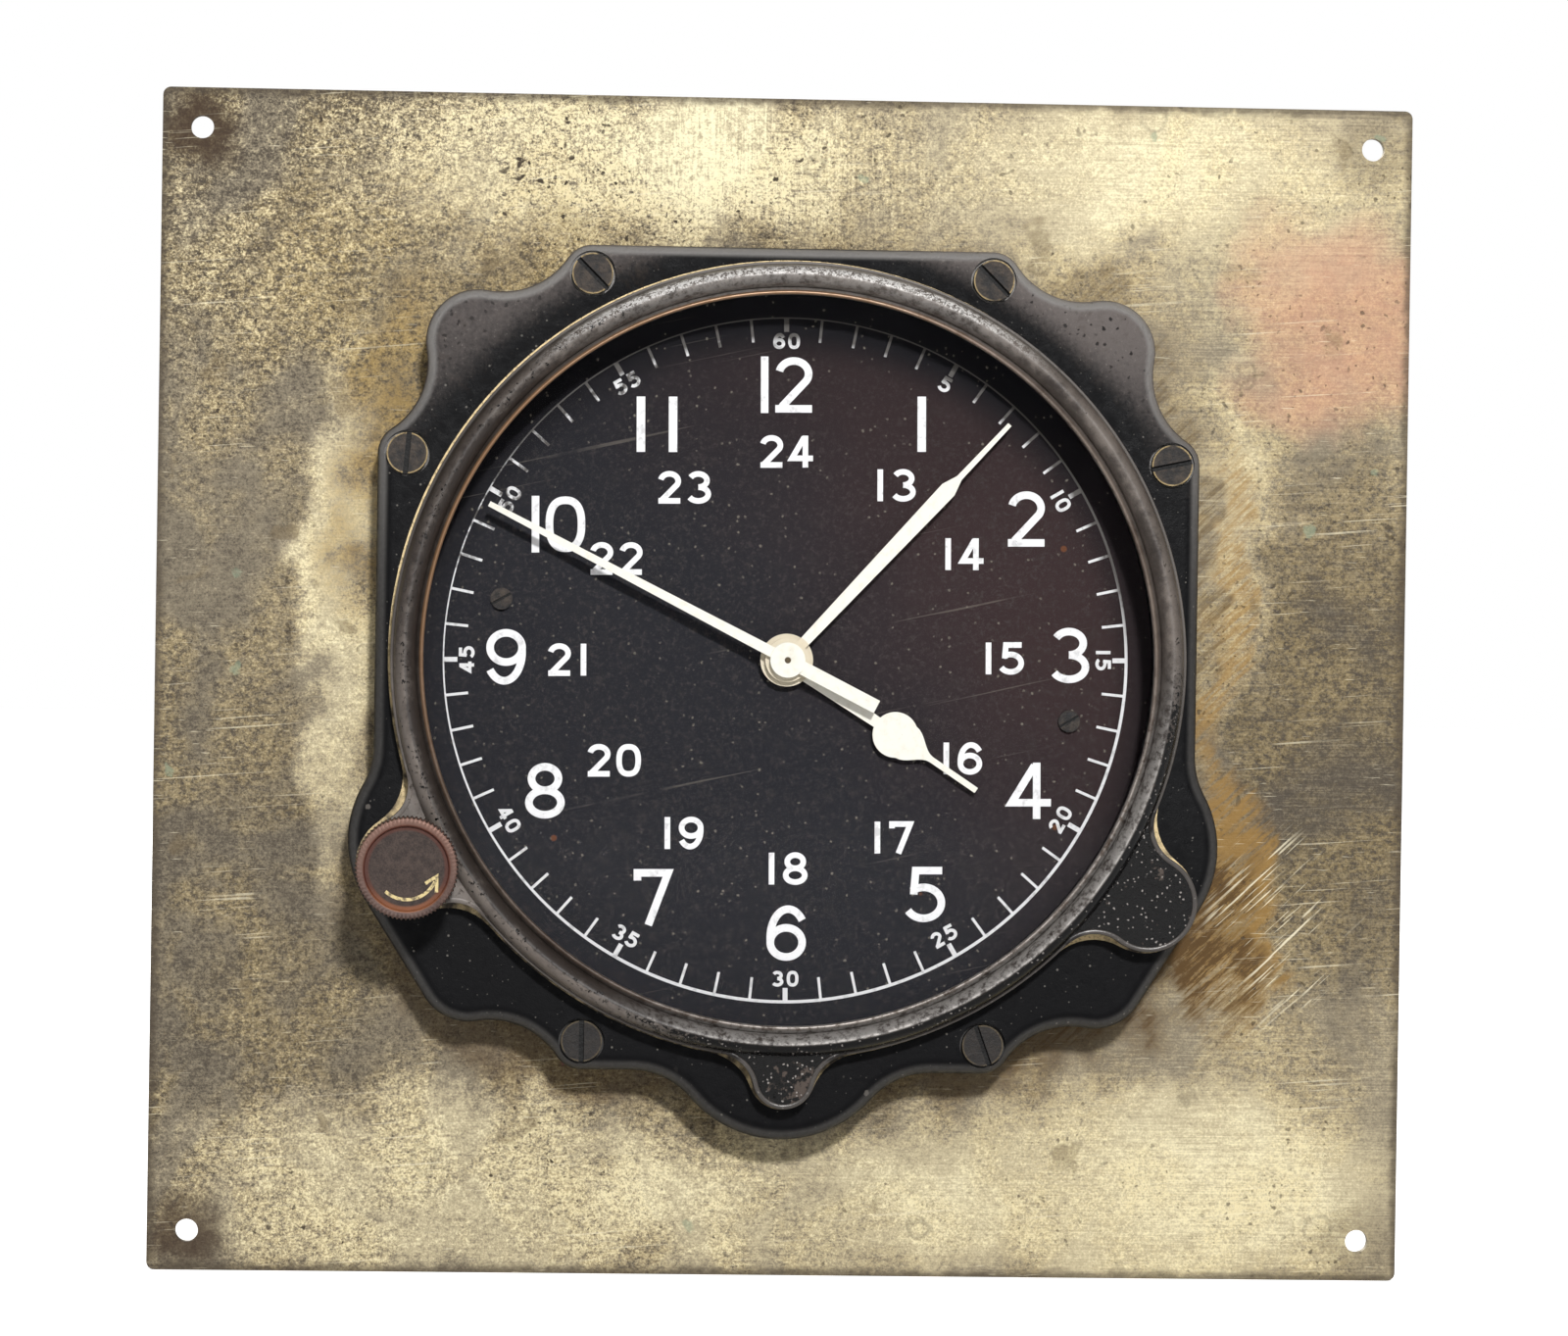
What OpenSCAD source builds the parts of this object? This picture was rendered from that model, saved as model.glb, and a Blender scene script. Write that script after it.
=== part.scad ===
// Aircraft panel clock, wound and set by one knob, on its mounting plate.
// Millimetres. The dial faces -Y and +Z is up. The origin is the centre of the
// plate's four corner holes, on the plate's back face.

/* [Plate] */
// Width of the mounting plate
plate_width = 127; // [122:0.5:140]
// Height of the mounting plate
plate_height = 119.4; // [114:0.2:132]
// Thickness of the mounting plate
plate_thickness = 1.2; // [0.8:0.1:2]
// Corner radius of the mounting plate
plate_corner = 0.8; // [0.4:0.1:3]
// Distance of each corner hole from the plate's edges
hole_inset = 4; // [3:0.1:6]
// Diameter of the corner holes
hole_diameter = 2.3; // [1.8:0.1:4]
// Height of the clock's axis above the plate's centre
clock_rise = 2.8; // [0:0.1:4]

/* [Housing] */
// Width of the housing across its flat sides
flange_width = 82.55; // [81.5:0.05:84]
// Height of the housing's face above the plate
housing_depth = 8.8; // [8.6:0.1:11]
// Thickness of the housing's side walls
housing_wall = 1.8; // [1.5:0.1:2]
// Thickness of the housing's face
front_wall = 2; // [1.6:0.1:2.2]
// Diameter of the circle through the four mounting screws
mount_circle = 88.9; // [88:0.1:90]
// Radius of the four corner lobes
corner_lobe = 5.2; // [4.9:0.1:5.8]
// Distance of the face screws from the centre line
screw_spread = 20.1; // [19:0.1:21]
// Distance of the face screws from the edge
screw_edge = 2.95; // [2.8:0.05:3.1]
// Radius of the hollows in the housing's outline
web_radius = 8; // [7:0.5:10]
// Distance of the bottom lug's lowest point from the clock's axis
lug_reach = 48.1; // [47.5:0.1:50]
// Radius of the bottom lug
lug_radius = 12.1; // [11.5:0.1:14]
// Distance of the side pods' outermost points outside the winding stem
pod_reach = 6; // [5.8:0.05:7]
// Radius of the side pods
pod_radius = 11.3; // [10.8:0.1:12]
// Distance of the winding stem below the side pods' centres
pod_drop = 2.4; // [1.8:0.1:3]

/* [Bezel] */
// Diameter of the opening in the bezel
opening_diameter = 73.2; // [72.4:0.1:74]
// Width of the bezel's rim
bezel_rim = 3.1; // [2.9:0.1:3.3]
// Height of the bezel
bezel_height = 4.5; // [4.2:0.1:6]
// Height of the bezel's lobes
lobe_height = 3; // [2.6:0.1:3.6]
// Radius of the side lobes
side_lobe = 4.9; // [4.6:0.1:5.2]
// Radius of the bottom lobe
bottom_lobe = 3.1; // [2.9:0.1:3.4]
// Distance of the bottom lobe's centre from the clock's axis
bottom_lobe_drop = 41.6; // [41:0.1:42]
// Width of the brass edge that shows around the bezel
shim_edge = 0.25; // [0.2:0.05:0.5]
// Thickness of the glass
crystal_thickness = 1.8; // [1.5:0.1:2]

/* [Dial and hands] */
// Depth of the dial below the housing's face
dial_recess = 4; // [3.7:0.1:4.1]
// Thickness of the dial
dial_thickness = 0.8; // [0.6:0.1:0.9]
// Length of the hour hand
hour_length = 23.2; // [20:0.1:26]
// Length of the minute hand
minute_length = 32.6; // [29:0.1:34]
// Length of the seconds hand
seconds_length = 33.7; // [30:0.1:34.5]
// Hour hand, degrees clockwise from the top
hour_angle = 123.6; // [0:0.1:360]
// Minute hand, degrees clockwise from the top
minute_angle = 42.6; // [0:0.1:360]
// Seconds hand, degrees clockwise from the top
seconds_angle = 296.8; // [0:0.1:360]

/* [Winding] */
// Distance of the winding stem from the clock's axis
stem_radius = 43.1; // [42.8:0.1:43.4]
// Winding stem, degrees below the horizontal
stem_angle = 29; // [28:0.1:30.5]
// Diameter of the winding knob
knob_diameter = 10.2; // [9:0.1:11]
// Height of the winding knob
knob_height = 5; // [4:0.1:7]
// Diameter of the winding stem
stem_diameter = 2; // [1.8:0.05:2.2]

/* [Case] */
// Outer diameter of the rear can
can_diameter = 78; // [77.6:0.1:78.4]
// Wall thickness of the rear can
can_wall = 1.5; // [1.2:0.1:1.6]
// Depth of the rear can behind the plate
can_depth = 31; // [30:0.5:45]

/* [Movement] */
// Distance between the movement's two plates
plate_gap = 20; // [19.5:0.5:23]
// Module of the center and third wheels' pair
train_module = 0.36; // [0.355:0.001:0.364]
// Module of the fourth wheel and escape pinion
escape_module = 0.29; // [0.287:0.001:0.3]
// Distance of the barrel from the clock's axis
barrel_reach = 18; // [17.6:0.1:18.4]
// Module of the winding wheels, which the idler's whole teeth adjust a little
wind_module = 0.5; // [0.45:0.01:0.55]
// Diameter of the balance wheel
balance_diameter = 15.8; // [14:0.1:16]

/* [Hidden] */
$fn = 64;

// Fits: what turns has running room, what is pushed or screwed in has snug room
running = 0.05;
snug = 0.02;
apart = 0.3;

// Tooth counts of the meshing pairs
barrel_teeth = 96;
center_teeth = 64;
third_teeth = 60;
fourth_teeth = 80;
leaves = 8;
cannon_teeth = 12;
minute_teeth = 36;
minute_leaves = 10;
hour_teeth = 40;
wind_teeth = 12;
ratchet_teeth = 36;
wind_span = 2 * (stem_radius - barrel_reach);
idler_teeth = round((wind_span / wind_module - wind_teeth - ratchet_teeth) / 2);
chain_module = wind_span / (wind_teeth + 2 * idler_teeth + ratchet_teeth);
escape_teeth = 15;

// Tooth form: involute flanks, with pinions shifted outwards and wheels inwards
pressure = 20;
addendum = 0.75;
dedendum = 1.2;
shift = 0.45;
motion_shift = 0.35;
thinning = 0.2;

// Levels along the clock's axis, counted forwards from the plate's back
plate_front = plate_thickness;
flange_front = plate_front + 1.5;
housing_front = plate_front + housing_depth;
wall_back = housing_front - front_wall;
bezel_base = housing_front + 0.4;
bezel_top = bezel_base + bezel_height;
lobe_top = bezel_base + lobe_height;
dial_face = housing_front - dial_recess;
dial_back = dial_face - dial_thickness;
hour_level = dial_face + 1;
minute_level = hour_level + 1;
seconds_level = minute_level + 1;
hand_thickness = 0.35;
main_front = plate_front;
main_back = main_front - 2;
back_front = main_back - plate_gap;
back_back = back_front - 1.8;
can_back = -can_depth;
wind_level = flange_front + 0.4;
wind_thickness = 1.2;
knob_base = lobe_top + 3;

// Radii about the clock's axis
flange_half = flange_width / 2;
opening_radius = opening_diameter / 2;
skirt_radius = opening_radius + 0.4;
bezel_radius = opening_radius + bezel_rim;
rabbet_radius = bezel_radius - 1.3;
dial_radius = skirt_radius + 1;
can_radius = can_diameter / 2;
can_bore = can_radius - can_wall;
main_radius = can_bore - 0.2;
back_radius = can_bore - 3;
boss_circle = can_bore - 2.3;

// Radii of the hollows beside the lobes, in the bezel and in the shim below it
bezel_hollow = 4;
shim_hollow = 5.4;

// Radius of the bush's flange, seated on the left lobe
bush_flange = 3;

// Places in the plane of the dial, x to the right and y up
stem_direction = 180 + stem_angle;
stem_place = polar(stem_radius, stem_direction);
mount_along = mount_circle / 2 / sqrt(2);
top_screw = [screw_spread, flange_half - screw_edge];
corner_place = [mount_along, mount_along];
side_screw = [flange_half - screw_edge, screw_spread];
pod_place = [pod_reach - stem_place.x - pod_radius, stem_place.y + pod_drop];
low_corner = [mount_along, -mount_along];
low_screw = [screw_spread, screw_edge - flange_half];
lug_place = [0, lug_radius - lug_reach];
idler_place = polar(stem_radius - chain_module * (wind_teeth + idler_teeth) / 2, stem_direction);
barrel_place = polar(barrel_reach, stem_direction);
right_lobe = polar(stem_radius + 0.2, -stem_angle - 4.2);
bottom_lobe_place = [0, -bottom_lobe_drop];
dial_screw = [28.7, 5.75];
third_direction = 75;
third_reach = train_module * (center_teeth + leaves) / 2;
third_place = polar(third_reach, third_direction);
escape_direction = 330;
escape_reach = escape_module * (fourth_teeth + leaves) / 2;
escape_place = polar(escape_reach, escape_direction);
balance_place = polar(24, 305);
lever_direction = toward(escape_place, balance_place);
escape_radius = 4;
lever_place = escape_place + polar(escape_radius / cos(30) + 0.2, lever_direction);
motion_direction = 60;
motion_module = 0.35;
motion_reach = motion_module * (cannon_teeth + minute_teeth) / 2;
motion_place = polar(motion_reach, motion_direction);
cock_foot = polar(15.4, 120);
foot_direction = 30;
balance_foot = balance_place + polar(12.4, foot_direction);
pillar_directions = [20, 110, 160, 250];
boss_directions = [45, 135, 300];
corner_places = [for (sx = [-1, 1]) for (sy = [-1, 1]) [sx, sy] * mount_along];
face_screws = [for (p = [top_screw, side_screw, low_screw]) for (s = [-1, 1]) [s * p.x, p.y]];
face_slots = [-45, -45, 85, 12, 90, -70];

// Modules of the pairs whose distance another pair has set
barrel_module = 2 * barrel_reach / (barrel_teeth + leaves);
fourth_module = 2 * third_reach / (third_teeth + leaves);
hour_module = 2 * motion_reach / (hour_teeth + minute_leaves);

// Barrel and ratchet
barrel_front = main_back - 2.1;
barrel_rear = main_back - plate_gap + 5.6;
drum_radius = barrel_module * (barrel_teeth / 2 - dedendum - shift) - 0.8;
drum_bore = drum_radius - 1.2;
arbor_radius = 1.6;
ratchet_tip = chain_module * (ratchet_teeth / 2 + addendum);
click_hub = 1.5;
click_tip = 0.5;
click_pivot = barrel_place + polar(ratchet_tip + 3.4, 115);
click_nose = barrel_place + polar(ratchet_tip + 1, 70);

// Arbors on the clock's axis, from the inside out
seconds_radius = 0.55;
seconds_tip = 0.3;
center_bore = seconds_radius + running;
center_radius = 1;
cannon_radius = 1.5;
hour_bore = cannon_radius + running;
hour_radius = 2.05;
pivot = 0.5;

// Levels of the train behind the main plate
third_level = barrel_rear + 0.4;
fourth_level = barrel_rear - 2;
lever_level = main_back - plate_gap + 8;
balance_level = main_back - plate_gap + 4.6;
spring_level = main_back - plate_gap + 2;

function polar(r, a) = [r * cos(a), r * sin(a)];
function toward(p, q) = atan2(q.y - p.y, q.x - p.x);
function arc(c, r, a0, a1, n) = [for (k = [0:n]) c + polar(r, a0 + (a1 - a0) * k / n)];
function clockwise(c, r, a0, a1, n = 8) = arc(c, r, a0, a1 > a0 ? a1 - 360 : a1, n);
function counter(c, r, a0, a1, n = 8) = arc(c, r, a0, a1 < a0 ? a1 + 360 : a1, n);

// Centre of the circle of radius w that touches two circles, to the left of p to q
function web(p, r, q, s, w) =
    let (d = norm(q - p), u = (q - p) / d)
    let (a = ((r + w) * (r + w) - (s + w) * (s + w) + d * d) / (2 * d))
    p + u * a + [-u.y, u.x] * sqrt((r + w) * (r + w) - a * a);

// The third side of a right-angled triangle, from its longest side and another
function leg(long, side) = sqrt(max(0, long * long - side * side));

// Direction from each centre to the outer tangent of two circles, left of p to q
function tangent(p, r, q, s) = toward(p, q) + acos((r - s) / norm(q - p));

// Right half of the housing's outline, clockwise from the top, moved in by i
function half_outline(i) =
    let (s = screw_edge - i, c = corner_lobe - i, w = web_radius + i, f = flange_half - i)
    let (pod = pod_radius - i, lug = lug_radius - i)
    let (w1 = web(top_screw, s, corner_place, c, w), w2 = web(corner_place, c, side_screw, s, w))
    let (w3 = web(low_corner, c, low_screw, s, w), t = tangent(pod_place, pod, low_corner, c))
    let (w4 = [f + w, pod_place.y + leg(pod + w, f + w - pod_place.x)])
    let (w5 = [leg(lug + w, f + w + lug_place.y), -f - w])
    concat(
        clockwise(top_screw, s, 90, toward(top_screw, w1)),
        counter(w1, w, toward(w1, top_screw), toward(w1, corner_place)),
        clockwise(corner_place, c, toward(corner_place, w1), toward(corner_place, w2)),
        counter(w2, w, toward(w2, corner_place), toward(w2, side_screw)),
        clockwise(side_screw, s, toward(side_screw, w2), 0),
        counter(w4, w, 180, toward(w4, pod_place)),
        clockwise(pod_place, pod, toward(pod_place, w4), t),
        clockwise(low_corner, c, t, toward(low_corner, w3)),
        counter(w3, w, toward(w3, low_corner), toward(w3, low_screw)),
        clockwise(low_screw, s, toward(low_screw, w3), -90),
        counter(w5, w, 90, toward(w5, lug_place)),
        clockwise(lug_place, lug, toward(lug_place, w5), -90));

// The whole outline: the right half, then its mirror image back to the top
function outline(i) =
    let (h = half_outline(i), n = len(h))
    concat(h, [for (k = [n - 2:-1:0]) [-h[k].x, h[k].y]]);

// A lobe that stands out from the round bezel, grown by g, with hollow corners of radius w
function lobe_outline(p, r, g, w) =
    let (o = [0, 0], b = bezel_radius + g, s = r + g)
    let (right = web(p, s, o, b, w), left = web(o, b, p, s, w))
    concat(
        clockwise(right, w, toward(right, o), toward(right, p)),
        counter(p, s, toward(p, right), toward(p, left), 24),
        clockwise(left, w, toward(left, p), toward(left, o)),
        clockwise(o, bezel_radius - 0.6, toward(o, left), toward(o, right)));

function rounded_box(w, h, r) =
    concat(arc([w, h] / 2 - [r, r], r, 0, 90, 6), arc([r - w / 2, h / 2 - r], r, 90, 180, 6),
        arc([r, r] - [w, h] / 2, r, 180, 270, 6), arc([w / 2 - r, r - h / 2], r, 270, 360, 6));

// Half of a tooth's angle at the radius rho of a gear with z teeth and module m
function involute(a) = tan(a) * 180 / PI - a;
function half_tooth(z, m, x, rho) =
    (PI / 2 + 2 * x * tan(pressure) - thinning) / z * 180 / PI
    + involute(pressure) - involute(acos(min(1, z * m * cos(pressure) / 2 / rho)));

// One flank of a tooth, from the root to the tip, as radius and angle
function flank(z, m, x) =
    let (root = m * (z / 2 - dedendum + x), tip = m * (z / 2 + addendum + x))
    let (base = z * m * cos(pressure) / 2, low = max(root, base), n = z > 20 ? 2 : 4)
    concat(root < base ? [[root, half_tooth(z, m, x, base)]] : [],
        [for (k = [0:n]) let (r = low + (tip - low) * k / n) [r, half_tooth(z, m, x, r)]]);

// The whole gear, with the middle of its first tooth at the angle turn
function gear(z, m, x, turn) =
    let (side = flank(z, m, x), n = len(side))
    [for (i = [0:z - 1]) for (k = [0:2 * n - 1])
        let (p = k < n ? [side[k][0], -side[k][1]] : side[2 * n - 1 - k])
        polar(p[0], turn + 360 * i / z + p[1])];

// A ribbon of the given thickness along a spiral, both its sides in turn
function spiral(r0, r1, turns, t, steps) =
    let (n = turns * steps)
    concat([for (k = [0:n]) polar(r0 + (r1 - r0) * k / n + t / 2, 360 * k / steps)],
        [for (k = [n:-1:0]) polar(r0 + (r1 - r0) * k / n - t / 2, 360 * k / steps)]);

// Turns the plane of the dial to face -Y, with the clock's axis at its height
module front() {
    translate([0, 0, clock_rise]) rotate([90, 0, 0]) children();
}

// A round rod between two levels
module rod(r, low, high, place = [0, 0]) {
    translate([place.x, place.y, low]) cylinder(r = r, h = high - low);
}

// A flat piece between two levels, from a flat shape
module sheet(low, high, place = [0, 0]) {
    translate([place.x, place.y, low]) linear_extrude(high - low) children();
}

// A flat bar with round ends
module bar(p, q, width) {
    translate(p) circle(d = width);
    translate(q) circle(d = width);
    translate(p) rotate(toward(p, q)) translate([0, -width / 2]) square([norm(q - p), width]);
}

// A slotted screw whose head sits on the level seat and whose shank goes down
module screw(head, height, shank, seat, end, slot = 0) {
    difference() {
        union() {
            rod(head, seat, seat + height);
            rod(shank, end, seat);
        }
        rotate(slot) translate([-head - 1, -head / 8, seat + height / 2])
            cube([2 * head + 2, head / 4, height]);
    }
}

// A wheel's flat shape: toothed rim, spokes and a round hole
module wheel(z, m, x, turn, bore, spokes = 4) {
    rim = m * (z / 2 - dedendum + x) - 1.1;
    difference() {
        polygon(gear(z, m, x, turn));
        circle(bore);
        if (spokes > 0) difference() {
            circle(rim);
            circle(bore + 1.2);
            for (k = [0:spokes - 1]) rotate(turn + 360 * k / spokes)
                translate([0, -0.5]) square([rim + 1, 1]);
        }
    }
}

// An arbor between the movement's plates: body, two pivots and its pinion
module arbor(place, radius, m, turn, low, high) {
    rod(radius, back_front + 0.1, main_back - 0.1, place);
    rod(pivot, back_back + 0.2, back_front + 0.1, place);
    rod(pivot, main_back - 0.1, main_front - 0.2, place);
    sheet(low, high, place) polygon(gear(leaves, m, shift, turn));
}

// The plate that the clock is screwed to, open for the can
module mounting_plate() {
    color("tan") rotate([90, 0, 0]) linear_extrude(plate_thickness) difference() {
        polygon(rounded_box(plate_width, plate_height, plate_corner));
        translate([0, clock_rise]) circle(can_radius + 0.4);
        for (sx = [-1, 1]) for (sy = [-1, 1])
            translate([sx * (plate_width / 2 - hole_inset), sy * (plate_height / 2 - hole_inset)])
                circle(d = hole_diameter);
        for (p = corner_places) translate(p + [0, clock_rise]) circle(1.8);
    }
}

// Screws from behind the plate into the housing's corner lobes
module panel_screws() {
    color("dimgray") front() for (p = corner_places) translate(p) rotate([180, 0, 0])
        screw(2.9, 1.8, 1.5, 0.5, -plate_front - 5);
}

// Washers under the screws behind the plate
module panel_washers() {
    color("silver") front() for (p = corner_places) difference() {
        rod(3.6, -0.5, 0, p);
        rod(1.6, -1, 1, p);
    }
}

// The scalloped casting: a hollow box with bosses, open behind and at the dial
module front_housing() {
    color("#26231f") front() difference() {
        union() {
            difference() {
                sheet(plate_front, housing_front) polygon(outline(0));
                sheet(plate_front - 1, wall_back) polygon(outline(housing_wall));
            }
            for (p = corner_places) rod(corner_lobe - 0.9, plate_front, wall_back + 0.5, p);
            for (p = face_screws) rod(screw_edge - 0.5, flange_front, wall_back + 0.5, p);
            rod(skirt_radius + 1.4, dial_face + apart, wall_back + 0.5);
        }
        rod(skirt_radius, plate_front, housing_front + 1);
        for (p = face_screws) {
            rod(1.1, plate_front, housing_front, p);
            rod(2.3, housing_front - 0.8, housing_front + 1, p);
        }
        for (p = corner_places) rod(1.5 + snug, plate_front - 1, plate_front + 5.4, p);
        for (p = [right_lobe, bottom_lobe_place]) rod(1.1, plate_front, housing_front + 1, p);
        rod(2.2 + snug, plate_front, housing_front + 1, stem_place);
    }
}

// Six screws that clamp the housing to the can's flange
module housing_screws() {
    color("#3a3631") front() for (k = [0:5]) translate(face_screws[k])
        screw(2.05, 1.1, 1, housing_front - 0.8, plate_front + 0.2, face_slots[k]);
}

// The half-round ring over the glass, with its three lobes
module bezel() {
    color("#2c2722") front() difference() {
        union() {
            rotate_extrude() difference() {
                union() {
                    translate([opening_radius, bezel_base])
                        square([bezel_rim, bezel_height - bezel_rim / 2]);
                    translate([opening_radius + bezel_rim / 2, bezel_top - bezel_rim / 2])
                        circle(d = bezel_rim);
                }
                translate([0, bezel_base - 1])
                    square([rabbet_radius, housing_front + 1.2 + crystal_thickness - bezel_base + 1]);
            }
            sheet(bezel_base, lobe_top) polygon(lobe_outline(stem_place, side_lobe, 0, bezel_hollow));
            sheet(bezel_base, lobe_top) polygon(lobe_outline(right_lobe, side_lobe, 0, bezel_hollow));
            sheet(bezel_base, lobe_top) polygon(lobe_outline(bottom_lobe_place, bottom_lobe, 0, bezel_hollow));
        }
        for (p = [right_lobe, bottom_lobe_place]) rod(1 + snug, bezel_base - 1, lobe_top - 0.6, p);
        rod(2.2 + snug, bezel_base - 1, lobe_top + 1, stem_place);
        rod(bush_flange + 0.1, lobe_top, bezel_top + 1, stem_place);
    }
}

// Brass sheet under the bezel, a little larger than it
module bezel_shim() {
    color("goldenrod") front() sheet(housing_front, bezel_base) difference() {
        union() {
            circle(bezel_radius + shim_edge);
            polygon(lobe_outline(stem_place, side_lobe, shim_edge, shim_hollow));
            polygon(lobe_outline(right_lobe, side_lobe, shim_edge, shim_hollow));
            polygon(lobe_outline(bottom_lobe_place, bottom_lobe, shim_edge, shim_hollow));
        }
        circle(rabbet_radius);
        translate(stem_place) circle(2.2 + snug);
        for (p = [right_lobe, bottom_lobe_place]) translate(p) circle(1.1);
    }
}

// Screws from inside the housing into the right and bottom lobes
module bezel_screws() {
    color("gray") front() for (p = [right_lobe, bottom_lobe_place]) translate(p) rotate([180, 0, 0])
        screw(1.8, 1.2, 1, -wall_back, -lobe_top + 0.8);
}

// Flat glass held under the bezel's lip
module crystal() {
    color("lightcyan", 0.4) front()
        rod(rabbet_radius - 0.2, housing_front + 1.2, housing_front + 1.2 + crystal_thickness);
}

// Ring between the housing and the glass
module crystal_gasket() {
    color("#1a1a1a") front() difference() {
        rod(rabbet_radius - 0.1, housing_front, housing_front + 1.2);
        rod(skirt_radius + 0.1, housing_front - 1, housing_front + 2);
    }
}

// The printed disc, held by two screws
module dial() {
    color("#101010") front() difference() {
        rod(dial_radius, dial_back, dial_face);
        rod(hour_radius + apart, dial_back - 1, dial_face + 1);
        for (s = [-1, 1]) rod(0.75, dial_back - 1, dial_face + 1, -s * [dial_screw.x, -dial_screw.y]);
    }
}

// Posts on the main plate that carry the dial
module dial_posts() {
    color("gold") front() for (s = [-1, 1]) translate(-s * [dial_screw.x, -dial_screw.y]) difference() {
        union() {
            rod(1.6, main_front, dial_back);
            rod(0.9, main_back, main_front);
        }
        rod(0.6 + snug, dial_back - 2.6, dial_back + 1);
    }
}

// Two slotted screws in the dial
module dial_screws() {
    color("#1c1c1c") front() for (s = [-1, 1]) translate(-s * [dial_screw.x, -dial_screw.y])
        screw(1.1, 0.6, 0.6, dial_face, dial_back - 2.4, 30);
}

// A hand on the clock's axis, from the right half of its blade and a round hub
module hand(half, level, angle, hub, rise, bore) {
    left = [for (k = [len(half) - 1:-1:0]) [-half[k].x, half[k].y]];
    color("ivory") front() rotate(-angle) difference() {
        union() {
            sheet(level, level + hand_thickness) polygon(concat(half, left));
            rod(hub, level, level + rise);
        }
        rod(bore, level - 1, level + rise + 1);
    }
}

// Tapered stem, a round spade and a hollow shoulder down to a thin point
module hour_hand() {
    spade_radius = 2.3;
    neck = 0.57;
    tip = 0.3;
    shoulder = 3.1;
    spade = [0, hour_length * 0.573];
    round = arc(spade, spade_radius, -acos(neck / spade_radius), 35, 12);
    p = round[12];
    point = [for (k = [1:8]) p + [(tip - p.x) * (1 - cos(180 * k / 8)) / 2, shoulder * k / 8]];
    half = concat([[0.9, 0]], round, point, [[tip, hour_length]]);
    hand(half, hour_level, hour_angle, 2.65, 0.6, hour_radius + snug);
}

// A blade that widens from the hub to a shoulder, then a thin tip
module minute_hand() {
    shoulder = minute_length * 0.724;
    hand([[0.48, 0], [0.84, shoulder], [0.3, shoulder + 1.6], [0.22, minute_length]],
        minute_level, minute_angle, 2.2, 0.6, cannon_radius + snug);
}

// A thin needle with a straight tail, and a cap
module seconds_hand() {
    tail = seconds_length * 0.3;
    hand([[0.69, -tail], [0.69, -1], [0.54, 1], [0.27, seconds_length]],
        seconds_level, seconds_angle, 1.75, 0.7, seconds_tip + snug);
}

// Knurled knob with a sunk face
module winding_knob() {
    r = knob_diameter / 2;
    color("rosybrown") front() translate(stem_place) difference() {
        union() {
            sheet(knob_base, knob_base + knob_height - 0.5) polygon([for (k = [0:95])
                polar(k % 2 == 0 ? r : r - 0.3, 360 * k / 96)]);
            rod(r - 0.45, knob_base + knob_height - 0.5, knob_base + knob_height);
            rod(2.4, knob_base - 1.2, knob_base);
        }
        rod(r - 1, knob_base + knob_height - 0.5, knob_base + knob_height + 1);
        rod(stem_diameter / 2 + snug, knob_base - 2, knob_base + knob_height - 1.4);
    }
}

// Round stem with a square end that slides in the winding pinion
module winding_stem() {
    flat = stem_diameter * 0.68;
    color("silver") front() translate(stem_place) {
        rod(stem_diameter / 2, wind_level + 3.4, knob_base + knob_height - 1.4);
        sheet(plate_front + 0.2, wind_level + 3.4) square(flat, center = true);
    }
}

// Threaded bush through the left lobe and the housing's face
module stem_bushing() {
    color("goldenrod") front() translate(stem_place) difference() {
        union() {
            rod(bush_flange, lobe_top, lobe_top + 0.9);
            rod(2.2, wall_back - 1.6, lobe_top);
        }
        rod(stem_diameter / 2 + running, wall_back - 3, lobe_top + 2);
    }
}

// Nut that clamps the bush from inside
module bushing_nut() {
    color("gold") front() difference() {
        translate([stem_place.x, stem_place.y, wall_back - 1.4]) cylinder(r = 3.4, h = 1.4, $fn = 6);
        rod(2.2 + snug, wall_back - 3, wall_back + 1, stem_place);
    }
}

// Pinion that turns with the stem and stays in place as the stem is pulled
module winding_pinion() {
    flat = stem_diameter * 0.68 + 2 * running;
    turn = stem_direction + 180 + 180 / wind_teeth;
    color("silver") front() translate(stem_place) difference() {
        union() {
            sheet(wind_level, wind_level + wind_thickness) polygon(gear(wind_teeth, chain_module, 0, turn));
            rod(1.9, flange_front + 0.1, wind_level);
            rod(1.9, wind_level + wind_thickness, wall_back - 1.8);
        }
        sheet(flange_front - 1, wall_back) square(flat, center = true);
        rod(stem_diameter / 2 + running, wind_level + 1.5, wall_back);
    }
}

// Wheel between the winding pinion and the ratchet wheel
module idler_wheel() {
    color("gold") front() sheet(wind_level, wind_level + wind_thickness, idler_place)
        wheel(idler_teeth, chain_module, 0, stem_direction, 1.2 + running, 0);
}

// Shouldered post that the idler wheel turns on
module idler_post() {
    color("silver") front() translate(idler_place) {
        rod(1, main_back, main_front);
        rod(2, main_front, wind_level - 0.1);
        rod(1.2, wind_level - 0.1, wind_level + wind_thickness + 0.1);
        rod(1.9, wind_level + wind_thickness + 0.1, wind_level + wind_thickness + 0.4);
    }
}

// Wheel on the barrel's arbor that the winding turns
module ratchet_wheel() {
    turn = stem_direction + (idler_teeth % 2 == 0 ? 180 / ratchet_teeth : 0);
    color("gold") front() sheet(wind_level, wind_level + wind_thickness, barrel_place) difference() {
        polygon(gear(ratchet_teeth, chain_module, 0, turn));
        square(1.9 + 2 * snug, center = true);
    }
}

// Screw that holds the ratchet wheel on its square
module ratchet_screw() {
    color("silver") front() translate(barrel_place)
        screw(2, 0.45, 0.6, wind_level + wind_thickness, wind_level - 1.6, 20);
}

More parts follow.
